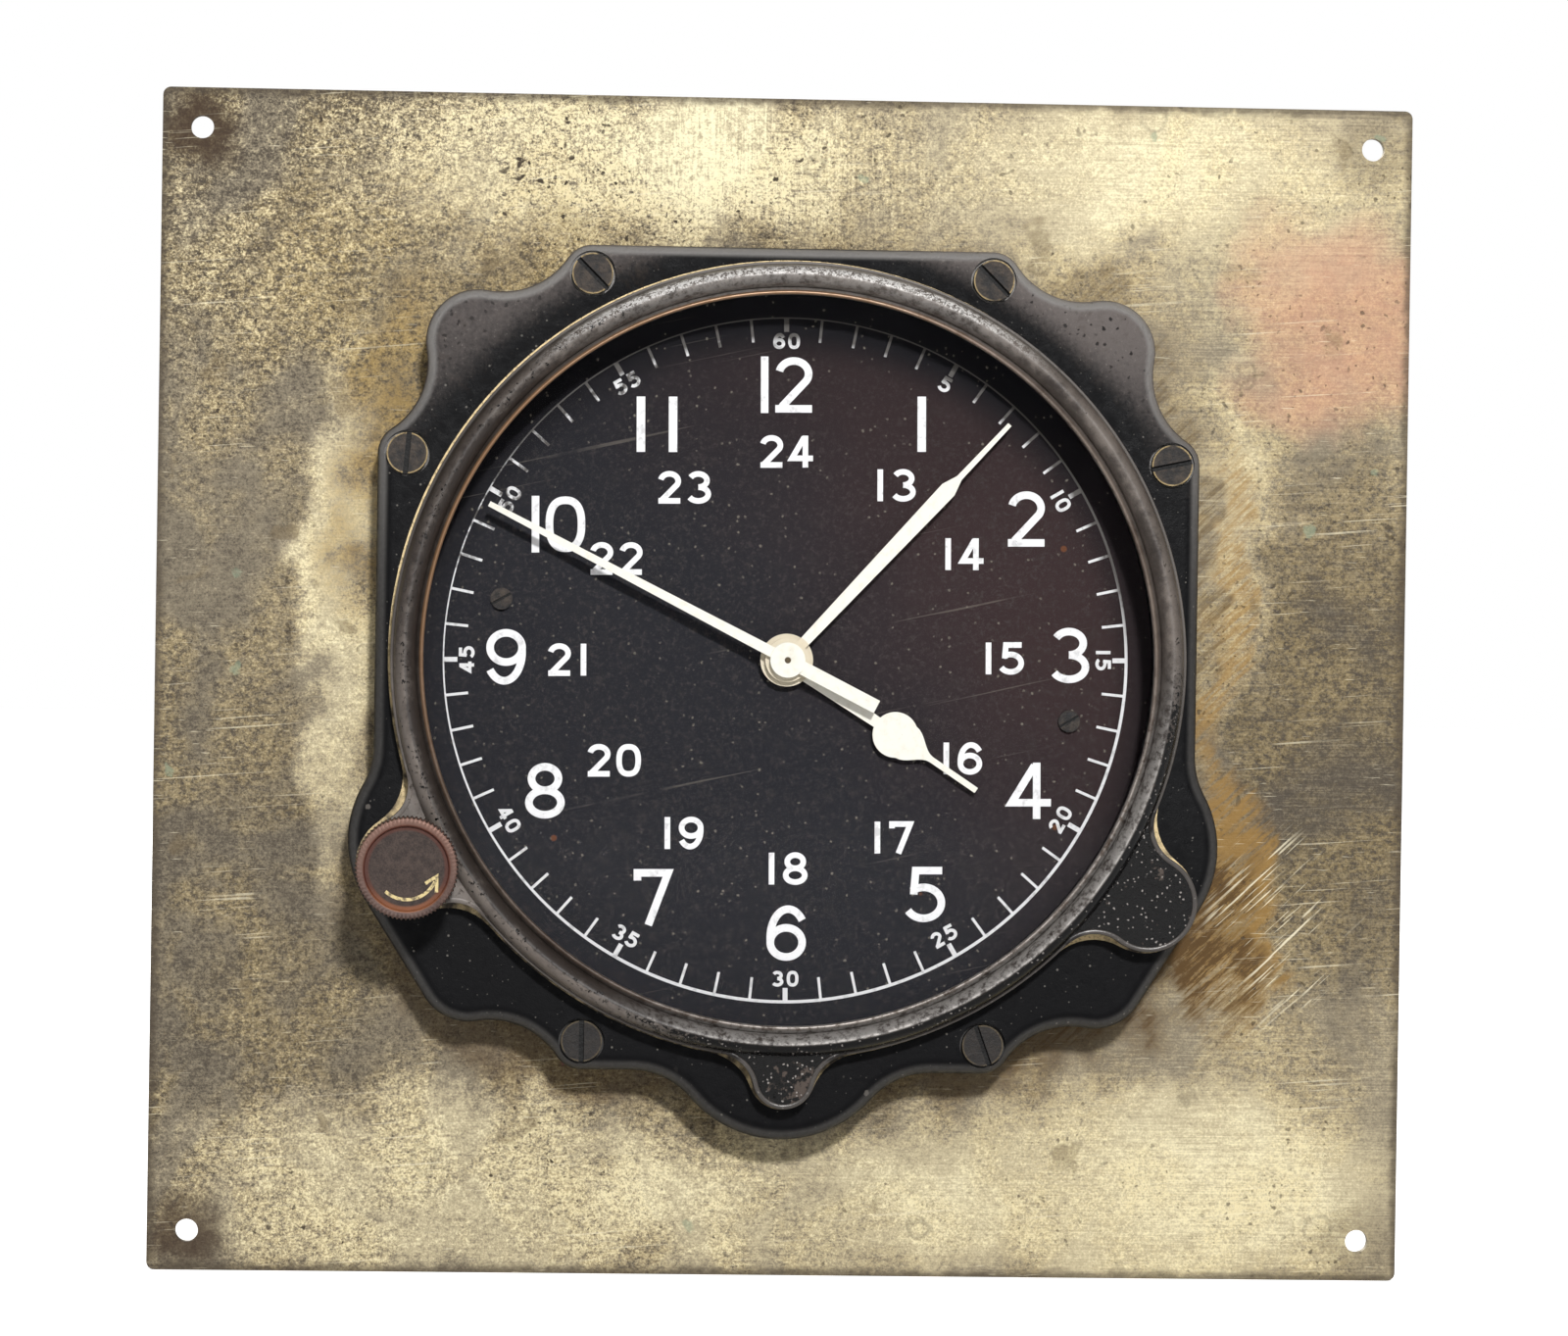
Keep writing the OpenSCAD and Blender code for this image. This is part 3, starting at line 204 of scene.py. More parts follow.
def plate_finish():
    finish, spot, x, y, z = new_finish("plate_finish")
    front = y.ramp(-0.3, -0.9)
    ragged = spot.warp(0.12, 16)
    ragged_x, _, ragged_z = ragged.axes()

    def patch(right, up, wide, tall):
        """A soft oval with a ragged edge, on the front alone."""
        across, along = (ragged_x - right) * (1 / wide), (ragged_z - up) * (1 / tall)
        return (across ** 2 + along ** 2).ramp(1.0, 0.1) * front

    clouds = spot.noise(0.07, 6, 0.62, 0.8)
    mottle = spot.noise(0.36, 7, 0.7, 0.5)
    fine = spot.stretch(0.75, 1, 1).noise(2.0, 6, 0.8)
    grain = spot.noise(4.0, 4, 0.8)
    brush = spot.stretch(0.02, 1, 1).noise(5.0, 5, 0.75)
    cross = spot.stretch(1, 1, 0.05).noise(4.0, 4, 0.7)
    # Patches that are lighter, or darker where the last number is negative: partly painted reflection
    # and shade, partly worn plating, bright along the top and bottom and darker at the sides.
    light = 0.15 - front * 0.3
    ovals = [(-20, 53, 30, 12, 0.56), (16, 53, 42, 12, 0.34), (44, 52, 30, 15, 0.2), (-34, -51, 34, 13, 0.5),
             (36, -51, 34, 14, 0.48), (0, -53, 24, 12, 0.4), (57, -4, 18, 36, -0.5), (-55, -24, 20, 34, -0.12),
             (-45, 6, 5, 34, 0.6), (46, 12, 5, 26, 0.3)]
    for *oval, share in ovals:
        light = light + patch(*oval) * share
    # The grain is coarse at the upper left and fine on the right.
    coarse = 0.5 + x.ramp(45, -40) * (0.25 + z.ramp(15, 48) * 0.75 + z.ramp(-25, -52) * 0.25)
    rough = coarse * (0.6 + clouds.ramp(0.38, 0.62) * 0.8)
    light = light + clouds * 0.3 + (mottle - 0.5) * coarse * 0.6
    light = light + ((fine - 0.5) * 2.4 + (grain - 0.5) * 2.2) * rough
    light = light + brush * (0.4 + x.ramp(10, 50) * 0.5) + (cross - 0.5) * patch(-4, 52, 30, 9) * 1.2
    gold = (clouds.ramp(0.4, 0.6) * 0.25 + patch(-36, 40, 22, 18) * 0.2) * fine.ramp(0.36, 0.6)
    blush = patch(57, 38, 13, 14) * (0.35 + mottle * 0.7)
    # A distance from the clock that follows the housing's squarish outline.
    square = ((ragged_x ** 2) ** 2 + ((ragged_z - clock_rise) ** 2) ** 2) ** 0.25
    tint = (mottle * 0.6 + fine * 0.8 + grain * 0.4 - 0.3).ramp(0.42, 0.8)
    strong = 0.2 + x.ramp(0, 45) * 0.1 + patch(-42, 26, 12, 26) * 0.9
    halo = square.ramp(47.5, 42.5) * front * strong * tint
    slope = spot.add("Mapping", {}, {"Vector": spot, "Rotation": (0.0, 0.75, 0.0)})
    streaks = slope.stretch(0.12, 1, 1).noise(1.6, 5, 0.72)
    stain = (patch(45, -22, 8, 15) * 1.2 + patch(45, 8, 4, 26) * 0.6) * (0.3 + streaks.ramp(0.36, 0.6))
    rust = (patch(44, -25, 7, 12) * 1.7 + patch(-40, 35, 4, 9) * 0.3 + patch(-24, 46, 5, 2.4) * 0.4
            + square.ramp(43.6, 42.2) * x.ramp(10, 40) * front * 0.7)
    rust = rust * (tint * 0.5 + streaks.ramp(0.42, 0.62) * 0.6)
    # Along the lower outline below the housing, this band is painted shadow of the housing mixed with a brown
    # stain.
    rust = rust + square.ramp(46.2, 43.0) * front * z.ramp(-14, -34) * (0.25 + mottle * 0.5)
    hole = ((abs(x) - hole_place[0]) ** 2 + (abs(z) - hole_place[1]) ** 2) ** 0.5
    dirty = 0.3 + patch(-60, 56, 12, 12) * 0.6 + patch(-60, -56, 9, 9) * 0.5
    near = (hole + mottle * 6).ramp(8.4, 4.8) * dirty
    edge = (abs(x) - plate_half[0]).over(abs(z) - plate_half[1])
    loose = clouds.ramp(0.42, 0.62)
    marks = ragged.specks(0.3, 0.15, 0.2).over(spot.warp(0.9, 1.2).specks(0.8, 0.2, 0.3))
    marks = (marks * (0.25 + loose)).over(spot.warp(1.5, 0.8).specks(1.6, 0.24, 0.35) * loose)
    chosen = ragged.cells(0.085, "Color").axes()[1].ramp(0.6, 0.7)
    blot = ragged.cells(0.085).ramp(0.16, 0.1) * chosen * mottle.ramp(0.36, 0.56)
    green = spot.warp(0.6, 2.0).specks(0.13, 0.09, 0.3) * mottle.ramp(0.3, 0.5)
    pink = spot.warp(0.9, 1.6).specks(0.1, 0.045, 0.3)
    water = spot.warp(0.35, 2.4)
    chosen = water.cells(0.15, "Color").axes()[2].ramp(0.72, 0.8)
    ring = abs(water.cells(0.15) - 0.2).ramp(0.05, 0.01) * chosen
    slant = spot.add("Mapping", {}, {"Vector": spot, "Rotation": (0.0, 0.08, 0.0)})
    scratch = (slant.stretch(0.016, 1, 1).noise(4.0, 2, 0.5).ramp(0.66, 0.7) * loose).over(
        spot.stretch(0.05, 1, 1).noise(7.0, 2, 0.5).ramp(0.7, 0.76))
    gouge = slope.stretch(0.04, 1, 1).noise(3.6, 2, 0.5).ramp(0.6, 0.66) * patch(50, -24, 8, 12)
    dull = (halo + rust + marks + near).ramp(0.0, 1.2)
    relief = brush * 0.5 + mottle * 0.5 + (fine * 0.7 + grain * 0.4) * coarse - marks * 0.8
    # The first three layers follow these patches, so they carry painted reflection and shade as well as the
    # plate's own tone.
    layers = [(light.ramp(-0.2, 0.42), "867b66"), (light.ramp(0.3, 0.72), "b9ac8c"),
              (light.ramp(0.64, 1.15), "efe5bf"), (gold, "b89c55"), (blush * 0.75, "c68f72"),
              (halo * 0.55, "ae8c45"), (stain.ramp(0.0, 1.0) * 0.8, "94702f"),
              (rust.ramp(0.0, 1.1) * 0.9, "4f350d"), (near, "3d2a17"),
              ((edge + mottle * 2.2 + grain).ramp(0.5, 1.5) * 0.75, "3f3324"),
              (marks * (0.3 + coarse * 0.5), "43382a"), (blot * 0.5, "6b5a3c"), (green * 0.55, "84937a"),
              (pink * 0.6, "8f4c56"), (ring * mottle.ramp(0.35, 0.6) * 0.4, "54493a"),
              (scratch * 0.45 + gouge * 0.75, "ece2c4")]
    return feed(finish, "453c30", layers, Metallic=0.34 - dull * 0.3, Normal=relief.bump(0.07, 0.7),
                Roughness=0.54 + dull * 0.2 + mottle * 0.08)


coat(plate_finish(), "mounting_plate")


# Front housing: a hollow casting in black enamel, with scalloped lobes for its screws, two
# round pods and a lug below. Its front edge is rounded, with a little rubbed grey wear and a
# painted highlight along it that is strongest at the top. Screws from behind the plate hold
# its corners.
def arc(centre, radius, start, end, turn, steps=14):
    """A circle's points from one direction to another, each an angle in degrees or a point that it faces;
    turn is 1 leftwards or -1 clockwise."""
    start, end = (toward(centre, way) if np.ndim(way) else way for way in (start, end))
    sweep = (end - start) * turn % 360 * turn
    angle = np.radians(start + sweep * np.linspace(0, 1, steps + 1))
    return np.array(centre) + radius * np.stack([np.cos(angle), np.sin(angle)], 1)


def toward(p, q):
    """Direction from one point to another, in degrees."""
    return np.degrees(np.arctan2(q[1] - p[1], q[0] - p[0]))


def web(p, r, q, s, w):
    """Centre of the circle of radius w that touches two circles from outside, left of the line p to q."""
    span = np.linalg.norm(q - p)
    along = ((r + w) ** 2 - (s + w) ** 2 + span ** 2) / (2 * span)
    unit = (q - p) / span
    return p + unit * along + np.array([-unit[1], unit[0]]) * np.sqrt((r + w) ** 2 - along ** 2)


def joined(arcs):
    """Arcs in turn as one closed line; where one ends away from the next, a straight stretch joins them."""
    parts, steps = [], 12
    for one, after in zip(arcs, arcs[1:] + arcs[:1]):
        apart = np.linalg.norm(after[0] - one[-1]) > 1e-6
        parts += [one, np.linspace(one[-1], after[0], steps + 1)[1:-1]] if apart else [one[:-1]]
    return np.concatenate(parts)


flange_half = 41.275
screw_edge = 2.95
screw_spread = 20.1
corner_place = np.array([31.43, 31.43])
corner_lobe = 5.2
web_radius = 8.0
pod_place = np.array([32.396, -18.495])
pod_radius = 11.3
lug_place = np.array([0.0, -36.0])
lug_radius = 12.1
screw_rise = flange_half - screw_edge
face_screws = [(side * x, y) for x, y in ((screw_spread, screw_rise), (screw_rise, screw_spread),
                                          (screw_spread, -screw_rise)) for side in (-1, 1)]


def housing_outline(inset):
    """The scalloped outline, moved in by inset: arcs about lobes, webs, pods and lug, right half first."""
    s, c, w = screw_edge - inset, corner_lobe - inset, web_radius + inset
    pod, lug, flat = pod_radius - inset, lug_radius - inset, flange_half - inset
    top = np.array([screw_spread, screw_rise])
    side = top[::-1]
    low = top * (1, -1)
    foot = corner_place * (1, -1)
    first = web(top, s, corner_place, c, w)
    second = web(corner_place, c, side, s, w)
    third = web(foot, c, low, s, w)
    leave = toward(pod_place, foot) + np.degrees(np.arccos((pod - c) / np.linalg.norm(foot - pod_place)))
    beside = np.array([flat + w, pod_place[1] + np.sqrt((pod + w) ** 2 - (flat + w - pod_place[0]) ** 2)])
    below = np.array([np.sqrt((lug + w) ** 2 - (flat + w + lug_place[1]) ** 2), -flat - w])
    half = [
        arc(top, s, 90, first, -1),
        arc(first, w, top, corner_place, 1),
        arc(corner_place, c, first, second, -1),
        arc(second, w, corner_place, side, 1),
        arc(side, s, second, 0, -1),
        arc(beside, w, 180, pod_place, 1),
        arc(pod_place, pod, beside, leave, -1, 24),
        arc(foot, c, leave, third, -1),
        arc(third, w, foot, low, 1),
        arc(low, s, third, -90, -1),
        arc(below, w, 90, lug_place, 1),
        arc(lug_place, lug, below, -90, -1, 24),
    ]
    return joined(half + [part[::-1] * (-1, 1) for part in reversed(half)])


def raised(flat, level):
    """Points of a flat line lifted to a level in front of the plate's back."""
    return np.column_stack([flat, np.full(len(flat), level)])


def in_frame(points):
    """Clock places (right, up, forward) in mm as the frame's metres: x, minus forward, up plus the rise."""
    right, up, forward = np.moveaxis(np.asarray(points, float), -1, 0)
    return np.stack([right, -forward, up + clock_rise], -1) / 1000


def skin(name, *sheets):
    """One mesh from grids of points. Each sheet is a grid and whether its rows and its columns close;
    four neighbours make a face, points that meet are merged, open ends are filled, and faces turn out."""
    places, faces, base = [], [], 0
    for grid, rows_close, columns_close in sheets:
        index = base + np.arange(grid.shape[0] * grid.shape[1]).reshape(grid.shape[:2])
        below = np.roll(index, -1, 0)
        quads = np.stack([index, np.roll(index, -1, 1), np.roll(below, -1, 1), below], -1)
        quads = quads[:None if rows_close else -1, :None if columns_close else -1]
        faces.append(quads.reshape(-1, 4))
        places.append(in_frame(grid).reshape(-1, 3))
        base += index.size
    mesh = bpy.data.meshes.new(name)
    mesh.from_pydata(np.concatenate(places).tolist(), [], np.concatenate(faces).tolist())
    work = bmesh.new()
    work.from_mesh(mesh)
    bmesh.ops.remove_doubles(work, verts=work.verts, dist=1e-7)
    bmesh.ops.edgeloop_fill(work, edges=[edge for edge in work.edges if edge.is_boundary])
    bmesh.ops.recalc_face_normals(work, faces=work.faces)
    work.to_mesh(mesh)
    work.free()
    smooth(mesh)
    return put(name, mesh)


def put(name, data):
    """A new object in the scene."""
    piece = bpy.data.objects.new(name, data)
    bpy.context.scene.collection.objects.link(piece)
    return piece


def smooth(mesh, sharp=32):
    """Smooth shading, with edges sharper than an angle in degrees kept crisp."""
    mesh.shade_smooth()
    mesh.set_sharp_from_angle(angle=np.radians(sharp))


def turned(profile, centre, steps):
    """A lathe grid: each radius and level of the profile carried round a centre."""
    radius, level = np.array(profile, float).T[:, :, None]
    angle = np.linspace(0, 2 * np.pi, steps, endpoint=False)
    ring = [centre[0] + radius * np.cos(angle), centre[1] + radius * np.sin(angle), level + 0 * angle]
    return np.stack(ring, -1)


def carve(piece, *others):
    """Cuts other solids from a piece and removes them."""
    for other in others:
        step = piece.modifiers.new("carve", "BOOLEAN")
        step.operation = "DIFFERENCE"
        step.solver = "EXACT"
        step.object = other
    shaped = piece.evaluated_get(bpy.context.evaluated_depsgraph_get())
    mesh = bpy.data.meshes.new_from_object(shaped)
    piece.modifiers.clear()
    piece.data = mesh
    smooth(mesh)
    for other in others:
        bpy.data.objects.remove(other)


def piece_of(piece, body, slot, finish, *nodes):
    """Gives a new piece its body, its finish and the nodes that it stands for; the slot is not used."""
    piece.data.materials.clear()
    piece.data.materials.append(finish)
    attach(piece, body)
    if nodes:
        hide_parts(*nodes)


def levels(node):
    """Levels of a node's back and front, in mm."""
    return [corner.y * -1000 for corner in reversed(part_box(node))]


plate_front, housing_front = levels("front_housing")
housing_wall = 1.8
face_thickness = 2.0
face_back = housing_front - face_thickness
edge_round = 1.7
opening = 37.0
skirt_wall = 1.4
skirt_bottom = 6.3
pocket_radius = 2.3
pocket_floor = 9.2
pocket_end = 12


def round_edge(radius, level):
    """Insets and levels of a quarter round that ends on a face at this level."""
    turn = np.linspace(0, np.pi / 2, 10)
    return zip(radius * (1 - np.cos(turn)), level - radius * (1 - np.sin(turn)))


def round_ring(outline):
    """A circle of radius 1 whose points lie in the directions of an outline's points."""
    return outline / np.linalg.norm(outline, axis=1, keepdims=True)


def housing_grid():
    """The wall and rounded edge carried round the outline, the face in to the opening, the skirt round it
    and the inside."""
    inner = housing_outline(housing_wall)
    ring = round_ring(housing_outline(edge_round))
    hole, skirt = ring * opening, ring * (opening + skirt_wall)
    rows = [(housing_outline(0), plate_front)]
    rows += [(housing_outline(inset), level) for inset, level in round_edge(edge_round, housing_front)]
    rows += [(hole, housing_front), (hole, skirt_bottom), (skirt, skirt_bottom), (skirt, face_back)]
    rows += [(inner, face_back), (inner, plate_front)]
    return np.stack([raised(*row) for row in rows])


def enamel_finish(name, wear):
    """Black enamel, rubbed grey and pitted by the share wear, most of all at the top and along the edge.
    The grey is partly painted light: lighter towards the top and the right, and a painted highlight
    along the rounded edge.
    """
    finish, spot, x, y, z = new_finish(name)
    level = y * -1
    clouds = spot.noise(0.09, 5, 0.6)
    mottle = spot.noise(0.7, 6, 0.7, 0.4)
    fine = spot.noise(2.2, 5, 0.72)
    grain = spot.noise(6.0, 3, 0.6)
    height = z.ramp(4, 42)
    away = (x ** 2 + (z - clock_rise) ** 2) ** 0.5
    outer = away.ramp(39, 45) * (0.82 + x.ramp(-20, 30) * 0.34)
    # The grey is rubbed wear mixed with painted light: it grows towards the top and the right, where the
    # lamp's light falls.
    wear_and_painted_light = height * outer * 0.75 + clouds * 0.3 + mottle * 0.45 + fine * 0.45 - 0.78
    wear_and_painted_light = wear_and_painted_light.ramp(0.0, 0.7) * height * wear
    brown = (mottle * 0.9 + clouds * 0.6 - 0.55).ramp(0.25, 0.5) * height * wear
    pits = spot.warp(2.0, 0.6).specks(1.5, 0.34, 0.35) * (0.15 + wear_and_painted_light)
    flecks = (fine.ramp(0.6, 0.68) * wear_and_painted_light).over(spot.warp(1.0, 1.0).specks(0.22, 0.08, 0.35) * 0.7)
    # Painted highlight: light grey along the rounded front edge, strongest at the top, over a little rubbed
    # wear.
    bead = level.ramp(8.7, 9.3) * level.ramp(9.95, 9.65) * wear
    dust = spot.specks(0.9, 0.13, 0.45).over(spot.specks(2.0, 0.16, 0.25) * 0.6)
    relief = mottle * (0.4 + wear_and_painted_light) + fine * (0.3 + height) + grain * 0.2 - pits * 0.6
    layers = [(wear_and_painted_light, "6c6562"), (brown * 0.5, "3d342d"), (pits * 0.8, "0a0a0b"),
              (flecks * 0.6 * wear, "8b847d"), (bead * (0.1 + fine * 0.2 + height * 0.7), "95928f"),
              (dust * 0.6, "85817a")]
    return feed(finish, "0d0d0f", layers, Specular_IOR_Level=0.1, Metallic=bead * 0.3,
                Normal=relief.bump(0.1, 0.8), Roughness=0.3 + mottle.ramp(0.35, 0.65) * 0.3 + wear_and_painted_light * 0.1)


housing = skin("housing_casting", (housing_grid(), True, True))
pocket = [(0, pocket_floor), (pocket_radius, pocket_floor), (pocket_radius, pocket_end), (0, pocket_end)]
pockets = [skin("pocket", (turned(pocket, place, 48), False, True)) for place in face_screws]
carve(housing, *pockets)
piece_of(housing, "clock", "black_enamel", enamel_finish("housing_enamel", 1.0), "front_housing")


# Rear can: a drawn can in plain black enamel, with a flange between the plate and the
# housing. A slotted brass plug closes the hole over the balance's regulator.
can_radius = 39.0
can_bore = 37.5
can_back, flange_front = levels("rear_can")
flange_inset = 2.1
can_round = 1.6
can_floor = can_back + can_radius - can_bore
groove_level = -12.0


def can_grid():
    """Rows from the middle of the back over its rounded corner, up the grooved wall, out to the flange, and
    in again to the middle of the floor."""
    flange = housing_outline(flange_inset)
    ring = round_ring(flange)
    corner = [(can_radius - inset, -level) for inset, level in round_edge(can_round, -can_back)]
    groove = [(can_radius - depth, groove_level + rise)
              for depth, rise in ((0, -0.6), (0.35, -0.3), (0.35, 0.3), (0, 0.6))]
    inside = [(can_bore, flange_front), (can_bore, can_floor), (0, can_floor)]
    rows = [(ring * radius, level) for radius, level in [(0, can_back), *corner[::-1], *groove]]
    rows += [(ring * can_radius, plate_front), (flange, plate_front), (flange, flange_front)]
    rows += [(ring * radius, level) for radius, level in inside]
    return np.stack([raised(*row) for row in rows])


can = skin("can_shell", (can_grid(), False, True))
piece_of(can, "clock", "black_enamel", enamel_finish("can_enamel", 0.25), "rear_can")


# Movement: brass wheels and drums, steel arbors and screws, nickelled plates and cocks, blued
# springs and red stones. The can hides it, so the frame's own solids get plain shop finishes.
def metal_finish(name, light, dark, rough, lines=(1, 1, 1), tarnish=0.35):
    """Bare metal: fine tool lines, cloudy tarnish and small dark spots."""
    finish, spot, *_ = new_finish(name)
    clouds = spot.noise(0.3, 5, 0.6)
    tool = spot.stretch(*lines).noise(6.0, 3, 0.6)
    spots = spot.specks(0.9, 0.2, 0.15)
    dull = (clouds * 0.8 + tool * 0.4 - 0.3).ramp(0.1, 0.6)
    return feed(finish, light, [(dull * tarnish + spots * 0.4, dark)], Metallic=1.0,
                Roughness=rough + dull * 0.15 + spots * 0.2,
                Normal=(tool + clouds * 0.4 - spots).bump(0.03, 0.5))


brass = metal_finish("bare_brass", "cda75a", "7d5b28", 0.28, (0.2, 1, 1))
steel = metal_finish("bright_steel", "b9bbbd", "6f6c68", 0.24, (0.2, 1, 1))
nickel = metal_finish("nickelled_brass", "c8c2b2", "8d8670", 0.3, (0.1, 1, 1))
blued = metal_finish("blued_steel", "2f3f74", "1b2140", 0.25, (0.3, 1, 1))
black_steel = metal_finish("blackened_steel", "3a3531", "7a6a4c", 0.42, (1, 1, 0.3), 0.5)
ruby = metal_finish("ruby_stone", "a01f3c", "6d1028", 0.12)
coat(brass, "dial_posts", "stem_bushing", "bushing_nut", "barrel_drum", "barrel_cover", "center_wheel",
     "third_wheel", "fourth_wheel", "escape_wheel", "balance_wheel", "plate_pillars", "minute_wheel",
     "hour_wheel", "regulator_plug")
coat(steel, "panel_washers", "bezel_screws", "winding_stem", "winding_pinion", "idler_wheel", "idler_post",
     "ratchet_wheel", "ratchet_screw", "click", "click_post", "barrel_arbor", "center_arbor",
     "center_cock_screw", "third_arbor", "escape_arbor", "pallet_lever", "balance_staff",
     "balance_cock_screw", "pillar_screws", "movement_screws", "cannon_pinion", "minute_wheel_post")
coat(nickel, "main_plate", "back_plate", "center_cock", "balance_cock")
coat(blued, "mainspring", "hairspring")
coat(ruby, "pallet_stones")
coat(black_steel, "panel_screws", "seconds_arbor")


# Face screws: slotted heads of blackened steel in the housing's pockets, rubbed to bare
# metal round their edges.
def screw_finish(name, places, radius, top, base, rub):
    """Blackened heads: slots below their top painted dark as shade, and rims at a radius rubbed to brass by
    the share rub.
    """
    finish, spot, x, y, z = new_finish(name)
    mottle = spot.noise(1.1, 5, 0.65)
    grain = spot.noise(5.0, 3, 0.6)
    rim = 0.0
    for right, up in places:
        away = ((x - right) ** 2 + (z - (up + clock_rise)) ** 2) ** 0.5
        rim = away.ramp(radius - 0.2, radius - 0.06) * away.ramp(radius + 0.3, radius + 0.1) + rim
    rim = rim * spot.noise(0.5, 2).ramp(0.32, 0.5) * (0.25 + z.ramp(-30, 0) * 0.75) * rub
    # The last layer is painted shade: it darkens the slots below the heads' top.
    layers = [(mottle.ramp(0.35, 0.7) * (0.2 + z.ramp(-30, 0) * 0.6), "4a3f35"), (rim, "a08b62"),
              (grain.ramp(0.56, 0.68) * 0.7, "151312"), ((y * -1).ramp(top - 0.06, top - 0.2), "080707")]
    return feed(finish, base, layers, Specular_IOR_Level=0.3, Metallic=rim * 0.4,
                Roughness=0.5 - rim * 0.1 + grain * 0.1, Normal=(mottle + grain * 0.6).bump(0.09, 0.8))


head_top = levels("housing_screws")[1]
head_radius = 2.05
face_steel = screw_finish("face_screw_steel", face_screws, head_radius, head_top, "1f1c1b", 0.85)
coat(face_steel, "housing_screws")


# Brass shim: a thin sheet between the housing and the bezel. Its bright edge shows as a line
# round the ring and in the hollows of the lobes.
def shim_finish():
    finish, spot, x, _, z = new_finish("shim_brass")
    mottle = spot.noise(0.5, 6, 0.66)
    grain = spot.noise(4.0, 3, 0.6)
    hollow = ((x - 38.6) ** 2 + (z + 15.0) ** 2).ramp(16, 4)
    hollow = hollow.over(((x - 30.4) ** 2 + (z + 26.2) ** 2).ramp(16, 4))
    bright = (mottle + (z - x * 0.6).ramp(-10, 50) * 0.26 + hollow * 0.2).ramp(0.42, 0.7)
    layers = [(bright, "d2bb8c"), (grain.ramp(0.5, 0.66) * 0.6, "4f3d24")]
    return feed(finish, "2b2115", layers, Metallic=bright * 0.3, Roughness=0.6 - bright * 0.15,
                Normal=(mottle + grain).bump(0.04, 0.6))


coat(shim_finish(), "bezel_shim")


# Bezel: a ring with a half-round roll and a thin inner lip over the glass, cast with two side
# lobes and one below. Its black paint has worn off the roll and flaked into pits. Painted
# highlights and glints lie along its crown, its outer edge and the floors of the lobes.
bezel_base, bezel_top = levels("bezel")
bezel_radius = 39.7
bezel_opening = 36.4
rabbet = 38.4
lip_back = 13.0
lobe_top = 13.4
bead_width = 0.5
flange_level = 13.0
roll_middle = 38.28
roll_half = 1.14
lip_round = 0.2
lip_middle = 13.72
lobe_floor = 13.2
left_floor = lobe_top - 0.04
side_lobe = 4.9
foot_lobe = 3.1
lobe_web = 4.0
knob_near, knob_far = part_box("winding_knob")
stem_place = np.array([(knob_near.x + knob_far.x) * 500, (knob_near.z + knob_far.z) * 500 - clock_rise])
lobes = [(stem_place, side_lobe, left_floor), (np.array([36.232, -23.710]), side_lobe, lobe_floor),
         (np.array([0.0, -41.6]), foot_lobe, lobe_floor)]


def lobe_outline(place, radius, grow):
    """A lobe out of the ring: a hollow, the lobe's round, a hollow, and back inside the ring."""
    origin = np.zeros(2)
    ring, lobe, hollow = bezel_radius + grow, radius + grow, lobe_web - grow
    right = web(place, lobe, origin, ring, hollow)
    left = web(origin, ring, place, lobe, hollow)
    return joined([
        arc(right, hollow, origin, place, -1),
        arc(place, lobe, right, left, 1, 40),
        arc(left, hollow, place, origin, -1),
        arc(origin, rabbet + 0.03 - 0.04 * grow, left, right, -1),
    ])


def lobe_grid(place, radius, floor):
    """The wall carried round a lobe, then a half-round bead along its edge that sinks where the ring begins,
    down to the floor."""
    turn = np.linspace(0, np.pi, 9)
    edge = lobe_outline(place, radius, 0)
    clear = (np.linalg.norm(edge, axis=1) - bezel_radius) / bead_width + 1
    height = (lobe_top - floor) * np.clip(clear, 0, 1)
    rows = [raised(edge, bezel_base)]
    for inset, lift in zip(bead_width / 2 * (1 - np.cos(turn)), np.sin(turn)):
        rows.append(np.column_stack([lobe_outline(place, radius, -inset), floor + height * lift]))
    return np.stack(rows)


def ring_profile():
    """Radii and levels round the ring's section: outer wall, edge, half oval roll, lip, glass rabbet."""
    edge = [(bezel_radius - inset, flange_level + rise)
            for inset, rise in ((0, 0), (0.06, 0.1), (0.2, 0.14), (0.3, 0.1))]
    turn = np.radians(np.linspace(4, 172, 25))
    roll_rise = bezel_top - flange_level
    roll = np.stack([roll_middle + roll_half * np.cos(turn), flange_level + roll_rise * np.sin(turn)], 1)
    valley = [(bezel_opening + 0.55, lip_middle - 0.12)]
    turn = np.radians(np.linspace(30, 180, 7))
    lip = np.stack([bezel_opening + lip_round * (1 + np.cos(turn)), lip_middle + lip_round * np.sin(turn)], 1)
    seat = [(bezel_opening, lip_back), (rabbet, lip_back), (rabbet, bezel_base), (bezel_radius, bezel_base)]
    return np.concatenate([edge, roll, valley, lip, seat])


